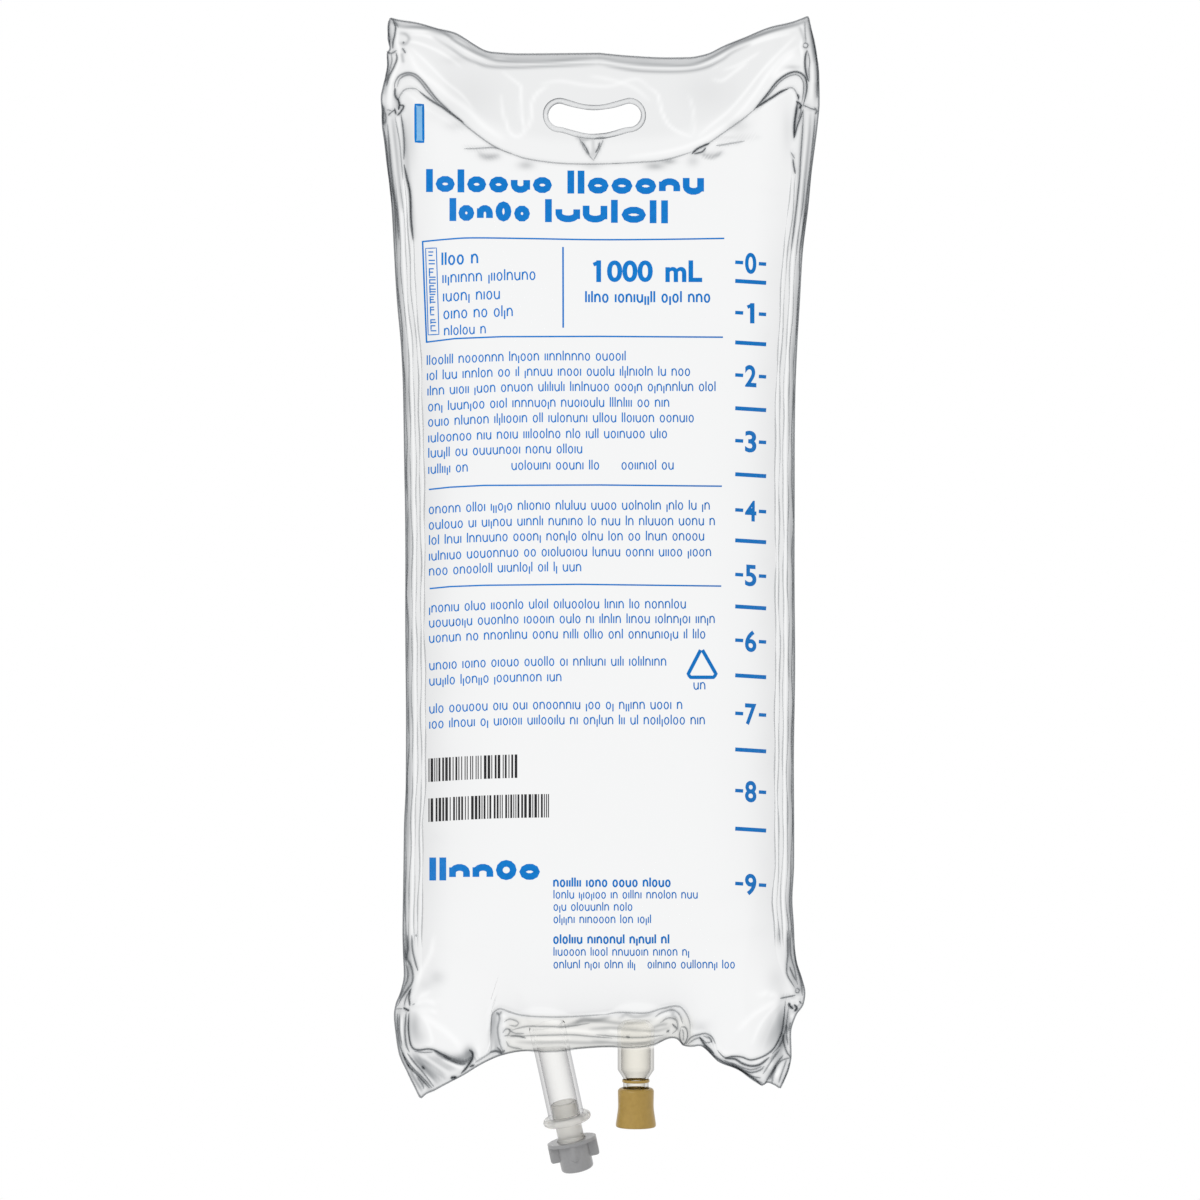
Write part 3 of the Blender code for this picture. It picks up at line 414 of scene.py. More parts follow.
HIGHLIGHTS = (
    # the fan of the left top corner
    (3.2, 0.4, -0.85, 407, 49, 418, 70, 436, 85, 451, 98, 467, 109, 483, 125, 503, 139),
    (1.4, 0.3, -0.7, 411, 48, 427, 63, 445, 81, 462, 95, 473, 109),
    (1.5, 0.25, -0.8, 405, 41, 418, 43, 436, 50, 451, 59, 460, 66),
    (1.3, 0.25, -0.8, 411, 34, 427, 36, 442, 43, 455, 53, 467, 57, 478, 65.7),
    (1.2, 0.15, -0.75, 400, 29, 418, 31.5, 436, 31, 447, 36.4, 455, 43.5, 468, 52, 483, 58, 505, 58.2),
    (1.4, 0.2, -0.8, 398, 29, 397, 40, 399, 50, 399, 62, 394, 75, 390, 88, 388, 104),
    (1.3, 0.15, -0.6, 403, 72, 396, 82, 391, 96, 390, 112),
    (1.4, 0.2, -0.7, 405, 92, 412, 97, 422, 106, 436, 114, 452, 124, 462, 133),
    # dents beside the slot
    (1.7, 0.35, -0.75, 503, 72, 512, 79, 521, 87.4, 520.5, 102, 521.5, 116, 524.6, 127.5, 522.4, 134, 517,
     136.7, 510.5, 133, 506, 122, 502, 108, 501, 95),
    (2, 0.35, -0.75, 526.8, 131, 531, 119, 532, 103, 537.6, 93, 547, 86),
    (2, 0.3, -0.55, 541, 84, 560, 81, 585, 85, 610, 86, 636, 79, 650, 88),
    (1.6, 0.3, -0.8, 650, 88, 657.8, 95, 662, 112, 669, 125, 679, 132, 692.4, 137.3),
    (1.3, 0.18, -0.55, 689, 95, 693.5, 112, 693.5, 134), (2.2, 0.25, -0.5, 590, 76, 612, 80, 634, 88, 650, 101),
    # the fan of the right top corner
    (1.3, 0.4, -0.8, 795, 37, 778, 54, 762, 71, 745, 92.6, 728, 111.6, 710, 126, 698, 137),
    (2.1, 0.35, -0.8, 798, 47, 782, 58, 767, 76, 754, 95, 739, 113, 721, 128, 700, 141, 670, 151, 630, 157),
    (1.3, 0.28, -0.8, 789.5, 33.5, 767, 39, 745, 47, 728, 56, 712, 68),
    (2, 0.25, -0.75, 747, 62.5, 735, 71.4, 722.5, 80.4, 712.5, 79), (1.2, 0.2, -0.6, 760, 52, 740, 64, 724, 70),
    (3, 0.2, -0.9, 772, 77, 782, 64, 794, 53), (1.6, 0.2, -0.85, 774, 78, 786, 71, 797, 67),
    (1.1, 0.1, -0.65, 650, 61.6, 690, 61.8, 708, 56, 727, 45.6, 760, 33, 803, 20),
    (1.2, 0.12, -0.7, 650, 68.3, 690, 68, 714, 60, 735, 49, 765, 37, 795, 29),
    (1.1, 0.1, -0.6, 520, 64.4, 560, 63.6, 600, 61.6, 650, 68.3),
    (0.9, 0.1, -0.85, 757, 106, 768, 94.5, 777, 85.5, 787, 77.6, 796, 74.8, 801.6, 79, 803, 90),
    (1.5, 0.15, -0.8, 761, 108, 776, 98, 789, 91, 795, 95, 794, 108),
    (1.3, 0.2, -0.8, 801, 24, 803, 36, 801, 46, 803, 60, 803, 68),
    (1.2, 0.15, -0.55, 811, 52, 812.5, 75, 811, 100),
    (1.2, 0.15, -0.7, 812, 113, 811, 140, 808, 172, 803, 215, 798, 262),
    (1.4, 0.15, -0.75, 397, 118, 401, 145, 403, 172, 406, 205, 408, 250),
    # rays of the two lower pinches
    (1.6, 0.4, -0.9, 411.8, 1006.5, 423, 1001, 432, 1002, 440, 1002),
    (1.5, 0.4, -0.9, 412, 1009, 427.4, 1011, 438.6, 1012), (2.2, 0.4, -0.9, 417.4, 998.6, 423, 995, 430, 993),
    (1.6, 0.4, -0.95, 413, 1011, 418.5, 1013, 425, 1020, 430, 1031, 432, 1042, 427, 1046),
    (3.6, 0.45, -0.95, 420, 1013, 435, 1024, 447.5, 1033, 458, 1044, 461, 1050),
    (2.6, 0.3, -0.8, 417, 985, 421, 972, 430, 955, 434, 938),
    (2.6, 0.4, -0.95, 782, 999, 766, 1007, 752, 1016, 738, 1030),
    (1.8, 0.4, -0.9, 783, 1000, 769, 1013, 759, 1027, 752, 1044),
    (2, 0.4, -0.9, 780, 997, 768, 993, 757, 993.5),
    (1.6, 0.35, -0.6, 786, 1001, 776, 1016, 768, 1034, 762, 1050),
    (2.2, 0.3, -0.95, 753.3, 1062, 762.5, 1058.6, 771.7, 1054, 779, 1045),
    (1.1, 0.25, -0.85, 441, 1060, 452, 1064.5, 462, 1068.5, 460.5, 1071.5),
    (2, 0.3, -0.9, 476, 1045, 479, 1056, 474, 1063), (2.4, 0.25, -0.8, 716, 1043, 722, 1053, 736, 1053),
)
GLINTS = (
    # small bright glints of the gathered film
    (1, 0.3, -0.95, 401.5, 1015, 401.6, 1031, 403, 1045), (1.4, 0.3, -0.95, 405, 959, 406.5, 966),
    (1.3, 0.3, -0.9, 402, 985, 405, 988), (1, 0.3, -0.85, 404.5, 1052, 411, 1063, 417, 1071),
    (1.3, 0.3, -0.9, 411.5, 1069, 416, 1076), (1.2, 0.25, -0.85, 417, 1090, 421, 1092, 426, 1087),
    (1.3, 0.25, -0.85, 425, 1075, 433, 1082), (2, 0.3, -0.95, 772, 1062, 768, 1068),
    (1.8, 0.3, -0.95, 780, 1069, 776, 1077), (1.4, 0.3, -0.9, 779, 1047, 777, 1053),
    (1.3, 0.2, -0.9, 788, 1066, 789, 1069), (1.4, 0.2, -0.9, 753, 1073, 757, 1077),
    (1.3, 0.2, -0.9, 777, 1084, 779, 1086), (1.4, 0.25, -0.9, 791, 1014, 793, 1018),
    (1.4, 0.25, -0.95, 785, 1033, 788, 1036), (1.3, 0.2, -0.95, 796, 1001, 798, 1004),
    (1.2, 0.25, -0.9, 698, 1037, 702, 1042), (1.6, 0.35, -0.8, 545, 1021, 560, 1022.5),
    (1.8, 0.35, -0.95, 608, 1030, 621, 1033), (1.6, 0.35, -0.9, 640, 1031, 652, 1034),
    (1.6, 0.35, -0.85, 545, 1029.5, 575, 1030.5, 600, 1033),
    (1.4, 0.35, -0.8, 520, 1039, 545, 1038.6, 570, 1038.6), (1.4, 0.35, -0.8, 610, 1041, 640, 1040, 660, 1038),
    (1.3, 0.3, -0.8, 501, 1014, 505, 1018, 504, 1028), (1.3, 0.3, -0.75, 672, 1012, 680, 1019, 682, 1027),
    (1.3, 0.3, -0.75, 655, 1020, 664, 1014, 672, 1013),
)
TOP_EDGE_FOLDS = (
    (1.1, -0.2, 0.39, 395, 21, 401, 26.7, 418.4, 27.2, 429, 28.3, 444.4, 33.2, 455, 41, 468, 48.6, 479, 54.3,
     492, 59.2, 505, 61.2, 545, 61.4, 576, 59.6, 600, 58.6),
    (1.1, -0.2, 0.39, 600, 58.6, 625, 62.8, 650, 64.7, 683.5, 65.3, 700, 62.5, 717, 54.7, 734, 44.6, 750, 38.5,
     767, 32.4, 784, 27.3, 800.7, 22.9, 804, 20),
    (2.2, 0.08, 0.09, 440, 29.5, 458, 37, 478, 48.5, 500, 57.4, 545, 57.6, 590, 56.4),
    (2, 0.08, 0.1, 596, 56.8, 640, 60.4, 685, 61.4, 707, 56.6, 727, 46, 760, 33, 795, 22),
    (1.2, 0.15, 0.3, 433.5, 37.5, 447, 46, 462, 56, 478, 63.5, 492, 66.8, 516, 67.4, 545, 66.3, 600, 64),
    (1.2, 0.15, 0.32, 600, 64, 625, 69, 650, 71.4, 683.5, 71.4, 705.8, 67.5, 721.4, 60.3, 732.6, 52.5, 750,
     44.6),
)
CORNER_FOLDS = (
    # left: side seal from the tip over the knot to the horn
    (1, 0.15, 0.5, 388.6, 21, 388, 30, 389.6, 38, 389, 46), (0.8, 0.15, 0.42, 391, 18.5, 395, 22, 398.6, 27.5),
    (1.2, -0.2, 0.68, 393, 20.5, 395.5, 27, 394.5, 36, 393, 42, 392.8, 49),
    (1, 0.2, 0.55, 386.4, 51.5, 391, 53.4, 396.5, 50.5),
    (1.3, -0.2, 0.64, 396.1, 52.7, 396.9, 59, 393.4, 68, 389, 76.6, 386.4, 86),
    (0.9, 0.2, 0.44, 391.3, 53.5, 391.8, 61.4, 389, 72, 385.4, 83),
    (0.9, 0.15, 0.42, 387.4, 55, 388, 66, 385, 78), (1, 0.2, 0.6, 402.2, 48, 404, 50.6, 405.6, 53.5),
    (1.1, 0.15, 0.55, 403.2, 41.4, 403.9, 43.6), (1.2, 0.15, 0.26, 401.6, 53, 403.4, 63),
    (1, 0.15, 0.26, 400, 33, 406, 34.5, 409, 39, 405, 44, 399.5, 43),
    # left horn: two fine arcs, the inner arch and the crescent of dark painted shade
    (1, 0.25, 0.56, 394.6, 90, 395, 83, 398.3, 77, 403.2, 73.8, 409.7, 72.8, 416.2, 75, 421.6, 79.8, 427, 86.3,
     433.5, 95, 440, 102.6, 448.7, 110.2, 456.3, 116.7),
    (0.8, 0.15, 0.5, 397.2, 87, 399.4, 79.8, 404.3, 76, 409.7, 74.9, 415.1, 77.1, 420.5, 82, 426, 89.6, 431.4,
     96, 439, 104.7),
    (0.7, 0.15, 0.44, 398.5, 99.6, 401, 93.9, 404.3, 90.1, 408.6, 88.5, 415.1, 88.7, 418.4, 90.6),
    (1.4, -0.2, 0.74, 418.4, 90.6, 424.9, 96, 433.5, 102, 442.2, 107.2, 448.7, 112, 455.2, 116.5, 463.9, 122.8),
    # left: the star where the seal is pinched
    (1.2, -0.2, 0.76, 395.2, 88, 395, 95, 397.8, 100.4), (1.3, -0.2, 0.86, 397.8, 98, 399.4, 104.7, 398.3, 110),
    (1.2, 0.2, 0.82, 399.4, 105, 403.7, 106.4, 400.5, 112.3, 397.2, 115.6),
    (1.1, -0.2, 0.8, 394.5, 108, 396.1, 114.8), (0.8, 0.2, 0.66, 388, 115.6, 391, 112.6, 394.6, 110),
    (0.8, 0.15, 0.45, 386.4, 109.6, 391.3, 110.7),
    (1.5, 0.2, 0.58, 382, 104.7, 383.8, 110.2, 383, 117.7, 384, 125.3),
    (0.8, 0.15, 0.5, 385.3, 112, 386, 119, 385, 124),
    # right: seal from the tip over the knot, and the slender dark loop
    (1.2, -0.15, 0.52, 811.5, 30, 814.5, 44, 816.6, 60, 817.4, 78, 817, 98),
    (1.6, 0.15, 0.3, 807.4, 20, 810.7, 33.5, 813, 47, 814.6, 62),
    (0.8, -0.2, 0.44, 804.8, 22, 805.2, 34, 806.2, 42), (1.2, 0.15, 0.24, 799.6, 26.8, 802, 33, 804.4, 42),
    (0.7, 0.2, 0.6, 803, 44.6, 805.5, 43, 808, 45, 806.5, 47.6, 803.8, 47, 803, 44.6),
    (1.1, -0.2, 0.8, 806.8, 50.2, 805.1, 58, 805.1, 67, 806.8, 76, 809, 82),
    (0.7, 0.2, 0.52, 807.4, 50.2, 809.6, 60.3, 809, 71.4, 809.6, 81),
    # right horn
    (1.1, 0.25, 0.8, 753.5, 110.5, 761.6, 101, 768.3, 92.6, 776, 82.6, 784, 76, 790.6, 72.7, 797.3, 72, 803,
     74.8, 806.3, 80.4, 806.8, 89.3, 805.1, 98.2, 803, 106),
    (0.7, 0.15, 0.58, 759.4, 103, 768.3, 95, 775, 87, 781.7, 80.4, 789.5, 76, 796.2, 74.8, 800.7, 77.4, 803.4,
     83, 803.4, 92.6, 801.8, 102.7),
    (1.6, -0.3, 0.92, 755.5, 108.3, 763.8, 102.7, 772.8, 97, 780.6, 92, 788.8, 88.5),
    (0.7, 0.15, 0.46, 787.3, 87.6, 792.9, 88.2, 796.2, 92.6, 798.4, 98.2),
    (1.1, 0.2, 0.8, 797.4, 94, 798.6, 97, 798.2, 99.8), (1.4, -0.2, 0.88, 796, 101, 801.2, 105.5, 798.6, 108.6),
    (1.5, -0.25, 0.9, 797.3, 102.7, 796.2, 111.6, 794.6, 122.8, 794, 138.4),
    (0.9, 0.15, 0.76, 803.5, 109.4, 800.7, 117.2, 797.3, 126, 794.4, 138),
    (0.8, 0.15, 0.5, 800, 106, 801, 111, 798.4, 119),
    (0.8, 0.2, 0.62, 803, 105, 806.3, 106.6, 811.8, 108.8, 815.2, 110),
    (1.1, 0.2, 0.62, 814.5, 107.6, 816.6, 111.2, 815, 114.6),
)
CAVITY_LINE_FOLDS = (
    (0.8, 0.25, 0.48, 456, 116.5, 464, 124.1, 478.3, 135.6, 494.1, 146.3, 511.3, 154.2),
    (0.8, 0.22, 0.42, 505, 151, 525.6, 158.5, 554.3, 162.8, 576, 164, 600, 164, 621, 163.2),
    (0.8, 0.22, 0.42, 612, 163.8, 640, 162.2, 657.4, 161.1, 670, 158.8, 684.9, 154.2, 692, 151.6),
    (0.8, 0.22, 0.42, 706, 145, 724.7, 132, 743, 119, 755, 109),
    (1, -0.35, 0.44, 463.9, 148.8, 478, 148.4, 492, 147.6, 499, 149),
    (2.6, 0.3, 0.22, 477, 153, 487, 157, 500, 155),
    (1.4, -0.35, 0.88, 691.6, 154, 696.9, 149.2, 703.6, 145.8, 709.6, 143.2),
    (1.1, 0.25, 0.78, 694, 154, 702, 151.8, 706, 147.6),
    (1.5, -0.3, 0.38, 701.3, 153, 706.9, 156.3, 713.6, 156.8, 722.5, 152.3),
    (1.1, -0.3, 0.4, 715.8, 145.8, 728, 144, 744.9, 141), (1.4, 0.3, 0.12, 717, 139, 740, 137, 760, 138),
    (0.9, 0.25, 0.5, 790.8, 152, 794.6, 158.6), (1.1, -0.2, 0.74, 792.8, 159, 794, 167.4, 795.4, 174),
)
CREASE_FOLDS = (
    # the V under the slot
    (0.8, 0.25, 0.42, 579, 138, 585, 150, 593.4, 160.5), (0.8, 0.25, 0.42, 603.5, 139, 599, 150, 593.4, 160.5),
    (1, -0.3, 0.68, 581.5, 141, 586, 148, 589.5, 155), (1, -0.3, 0.68, 600, 142, 598.2, 148, 595.4, 153),
    (1, 0.25, 0.2, 593, 138, 593.2, 148, 593.6, 158), (1.3, 0.2, 0.3, 576, 137, 584, 139.5, 591, 138.5),
    (0.8, 0.15, 0.44, 595, 138.6, 600, 137.6, 606, 138),
)
SIDE_FOLDS = (
    # dark slivers of the side seals
    (1.1, -0.2, 0.66, 401, 114.5, 403.2, 129.7, 404.3, 146, 403.8, 160),
    (1.6, -0.3, 0.8, 404, 164, 406.8, 178, 409.6, 190, 410.6, 203, 411, 220, 413, 240),
    (1, 0.2, 0.54, 384, 128, 386.4, 146, 389, 174, 392, 205),
    (1.3, 0.25, 0.52, 387.5, 124, 389.2, 146, 391.5, 174, 396, 206, 399, 240),
    (1, 0.25, 0.28, 392.3, 117.7, 395.6, 146, 398.3, 174, 402, 210),
    (0.8, 0.2, 0.42, 395, 116.7, 399.4, 140.5, 401, 156.8, 403, 180),
    (0.9, -0.25, 0.56, 803.5, 111.6, 802.3, 134, 800.7, 156, 799.4, 180, 796.7, 205, 791, 250),
    (1.2, 0.2, 0.34, 810.7, 112.7, 809.6, 134, 807.4, 156, 805, 180, 801, 220),
    (1.1, 0.25, 0.54, 815.2, 115, 813.7, 134, 811.3, 156, 808.4, 182, 805.4, 205, 800.6, 250),
    (1.4, -0.25, 0.58, 407.3, 935, 407.9, 948.4, 406.4, 957.3, 410.7, 965, 412.9, 975, 411.8, 983, 407.3,
     989.7, 401.7, 997.5, 397.5, 1006), (1.2, -0.25, 0.62, 411.8, 935, 412.4, 948.4, 414.6, 959.6, 418, 971),
    (1.1, 0.25, 0.48, 404.8, 946, 406, 962, 408, 976, 404, 988, 399.5, 999),
    (0.9, 0.25, 0.52, 411.8, 988, 406.2, 997.5, 404, 1006.5),
    (1.3, -0.2, 0.76, 410.4, 989, 409, 997.5, 410, 1006), (1.2, 0.2, 0.6, 416, 934, 416.2, 937),
    (1.1, -0.25, 0.58, 787.2, 930, 787.8, 953, 786.6, 967.9, 787.8, 976, 794.7, 987.4),
    (1, 0.25, 0.52, 790, 930, 790.6, 953, 794.7, 970, 797.5, 985),
    (1, -0.25, 0.58, 789.5, 966.7, 792.4, 973.6, 795.8, 980.5),
    (1.2, 0.2, 0.5, 793.4, 945, 796.4, 965, 801, 982, 802.4, 996),
)
SEAL_SHADOWS = (
    # soft dark bands within the seals
    (2.6, 0.1, 0.24, 387.5, 60, 386, 78, 384, 95), (2.4, 0.1, 0.21, 389, 24, 390, 34, 391, 44),
    (1.7, 0.1, 0.21, 396.5, 84, 399, 77, 406, 74.6, 414, 75.6, 423, 84, 434, 97, 448, 109),
    (3, 0.1, 0.24, 396, 92, 397, 102, 399, 110), (2, 0.1, 0.29, 383.5, 105, 384.5, 118, 385, 130),
    (2.4, 0.1, 0.22, 386, 135, 390, 165, 394, 200, 399, 250),
    (2.6, 0.1, 0.16, 404, 120, 406, 145, 408, 172, 412, 205, 415, 240),
    (3.2, 0.1, 0.3, 811, 24, 814.6, 48, 816.6, 75, 817, 100), (2, 0.1, 0.24, 805.5, 54, 805.6, 66, 807.6, 78),
    (1.6, 0.1, 0.21, 759, 105, 771, 91, 782, 79, 792, 73.8, 801, 75, 805, 84, 804.6, 100),
    (3, 0.1, 0.27, 797.5, 104, 797, 115, 795, 130),
    (2.2, 0.1, 0.24, 814.6, 118, 812.6, 140, 809.5, 170, 806, 205, 801, 250),
    (2, 0.1, 0.16, 803, 115, 801.6, 140, 799.6, 172, 797, 205, 792, 250),
    (3.6, 0.1, 0.3, 406.5, 938, 408, 955, 409.6, 972, 407, 986, 401, 998),
    (3.4, 0.1, 0.29, 400, 1012, 400.4, 1030, 403, 1046),
    (3.4, 0.1, 0.26, 403, 1052, 411, 1066, 421, 1078, 430, 1090),
    (2.6, 0.1, 0.22, 413, 1058, 422, 1067, 434, 1080), (3, 0.1, 0.24, 788, 938, 789, 960, 793, 978, 799, 992),
    (2.6, 0.1, 0.27, 797, 958, 800, 975, 802, 990),
    (2.8, 0.1, 0.26, 788.6, 1012, 786.6, 1030, 782, 1046, 774, 1056),
    (3, 0.1, 0.22, 782, 1052, 774, 1066, 766, 1080),
    (4.2, 0.1, 0.3, 440, 1054, 450, 1058.5, 460, 1060.5, 468, 1060),
    (4, 0.1, 0.29, 471, 1048, 472.6, 1054, 470, 1061), (3.4, 0.1, 0.16, 494, 1014, 494.5, 1030, 497.5, 1048),
)
LEFT_EAR_FOLDS = (
    (1.4, 0.3, 0.92, 403.2, 1007.6, 406.2, 1009.2, 409.4, 1011), (0.8, 0.2, 0.48, 396.2, 1008.7, 402.9, 1008.7),
    (0.9, -0.3, 0.5, 412.2, 1005, 415, 1003.4),
    (1.1, -0.3, 0.8, 409, 1013, 408.4, 1026, 409, 1035.5, 410.7, 1044.4, 414, 1048.9, 419.6, 1050, 427.4,
     1048.9, 434, 1050, 440.8, 1053.6, 449, 1057), (0.7, 0.15, 0.5, 414, 1051, 423, 1052.4, 433, 1052),
    (2.9, -0.4, 0.5, 434, 1050.6, 443, 1055.6, 452, 1059, 461, 1061.5, 467.6, 1061, 471, 1056.7),
    (1.5, -0.2, 0.52, 443, 1056, 451, 1060.4, 459, 1063.6, 466, 1064),
    (1.5, 0.3, 0.84, 469, 1049.4, 472.6, 1053.3, 472, 1059, 468.7, 1064.5, 465.4, 1069, 460.9, 1073.6),
    (2, 0.2, 0.96, 450.4, 1078, 456.8, 1077), (1.3, 0.2, 0.86, 469.6, 1066.8, 474.6, 1064.8),
    (1, 0.25, 0.4, 475, 1062.5, 484, 1057, 491, 1052.5),
    (1.5, 0.25, 0.76, 489.5, 1052.4, 496, 1051, 502.5, 1053.5),
    (1.3, 0.2, 0.62, 497, 1047, 502, 1052, 505, 1050),
    # seal of the ear, from the pinch to the toe
    (1.1, -0.25, 0.54, 397.3, 1013, 397.8, 1030, 400.4, 1047, 406, 1060),
    (0.8, 0.2, 0.5, 399.6, 1014, 399.4, 1030, 402, 1046),
    (1.2, 0.25, 0.6, 406.2, 1012, 405, 1030, 406.2, 1044.4, 409.4, 1052),
    (1.1, -0.25, 0.66, 401.7, 1052, 408.4, 1065.6, 417.4, 1075, 429.7, 1088),
    (0.7, 0.15, 0.56, 404, 1056, 413, 1068, 424, 1079, 432, 1088),
    (1, 0.25, 0.58, 407.3, 1053.3, 415.1, 1063.4, 423, 1072.3, 434, 1086.8),
    (2, 0.25, 0.34, 412.4, 1053.3, 417.4, 1061, 425.2, 1069, 438, 1083.5),
    (1.2, 0.2, 0.8, 421.8, 1065.8, 424.6, 1069.4), (0.9, 0.2, 0.8, 407.6, 1064, 409.4, 1067.4),
    (0.8, 0.2, 0.66, 411.4, 1068.6, 414, 1070.4), (1.6, 0.2, 0.36, 410, 1070, 414, 1078, 419, 1086, 422, 1091),
    (1.2, -0.2, 0.46, 417, 1077, 422, 1084, 424, 1089),
    # the fan of the ear's flat
    (1.4, 0.3, 0.24, 418.5, 1056.7, 432, 1065.6, 445.3, 1075.7),
    (1.5, -0.25, 0.22, 427.4, 1055.6, 440.8, 1064.5, 452, 1071),
    (1.1, 0.25, 0.34, 416, 1054, 425, 1066, 441, 1081), (1.4, 0.25, 0.2, 433, 1056, 444, 1063, 456, 1070),
    (1, -0.25, 0.26, 423, 1060, 434, 1071, 446, 1079),
)
RIGHT_EAR_FOLDS = (
    (1, -0.3, 0.72, 780, 998.4, 787, 997, 795.8, 995.2),
    (0.7, 0.2, 0.62, 796, 988, 799, 989.4, 798.4, 992.6, 795.8, 992, 796, 988),
    (1.8, 0.25, 0.96, 788.6, 1002.6, 790, 1006, 793.4, 1009),
    (1.6, 0.25, 0.96, 794, 1004.4, 796.8, 1008, 794.4, 1011.4), (1.2, 0.2, 0.84, 799, 1001, 801.6, 1003.6),
    (1, -0.4, 0.76, 785.4, 1001, 784, 1017, 782, 1031, 777.4, 1042.5, 771.7, 1050.6, 762.5, 1056.7, 751,
     1059.9, 741.8, 1057, 732.7, 1056.3, 724.6, 1057.4, 717, 1050),
    (0.8, 0.25, 0.5, 788.6, 1006, 787, 1020, 784.4, 1034, 780, 1045, 772, 1054),
    (1.5, 0.3, 0.78, 724.6, 1058.4, 735, 1059, 741.8, 1063.2, 751, 1066, 760.2, 1064.3, 769.4, 1057),
    (1.1, -0.3, 0.62, 723.5, 1060, 737.3, 1066.8, 749.9, 1072.4, 760.2, 1070, 764.4, 1066),
    (1, 0.2, 0.48, 730, 1062, 742, 1067.4, 752, 1069.6, 762, 1066.4),
    (1, 0.25, 0.54, 738, 1068.6, 751, 1075.8, 761, 1078), (0.9, -0.25, 0.56, 744, 1073, 754, 1079.6, 763, 1083),
    (1.3, 0.2, 0.74, 702.8, 1044.6, 712, 1054, 723.5, 1062, 737.3, 1068, 751, 1078, 762.5, 1086),
    (1.1, 0.3, 0.62, 783.2, 1033.3, 783.2, 1040.2, 786.6, 1051.7, 790.6, 1057),
    (1, -0.25, 0.54, 786.6, 1024, 786.6, 1035.6, 788, 1045), (0.9, 0.2, 0.5, 790.6, 1022, 788.6, 1031),
    (1.1, -0.3, 0.64, 783.2, 1055, 776.3, 1064.3, 771.7, 1072.4, 764.8, 1083.8),
    (0.9, 0.25, 0.56, 791, 1057.4, 781, 1060.9, 774, 1070, 769.4, 1080),
    (0.9, 0.25, 0.5, 780, 1049, 772, 1060, 763, 1074),
    (0.9, -0.25, 0.5, 786.6, 1059.7, 782, 1072.4, 778.6, 1083),
    (1.2, 0.2, 0.4, 790, 1062, 787, 1072, 782, 1084), (1.6, 0.25, 0.4, 776, 1066, 773, 1075, 772, 1083),
    (1.6, 0.2, 0.3, 781, 1040, 778, 1050, 770, 1060),
    # small lobes beside the weld
    (0.9, 0.45, 0.6, 681, 1027, 685.5, 1027.5, 687.6, 1034, 686, 1042, 682.5, 1043.5, 679.5, 1036, 681, 1027),
    (1, 0.25, 0.42, 682.4, 1029, 683.6, 1035, 683, 1041),
    (0.9, 0.5, 0.58, 686, 1044, 691, 1037.4, 699, 1034.6, 706, 1033.6, 712, 1037, 715.6, 1044),
    (0.9, 0.3, 0.5, 688, 1044, 694, 1039.6, 700, 1038, 706, 1042.6, 711.4, 1041, 708, 1036),
    (1.4, -0.3, 0.84, 699.4, 1036.8, 704, 1043.7, 709, 1048.6, 714.3, 1054),
    (1, 0.2, 0.44, 703, 1036, 710, 1038.5, 712, 1043),
)
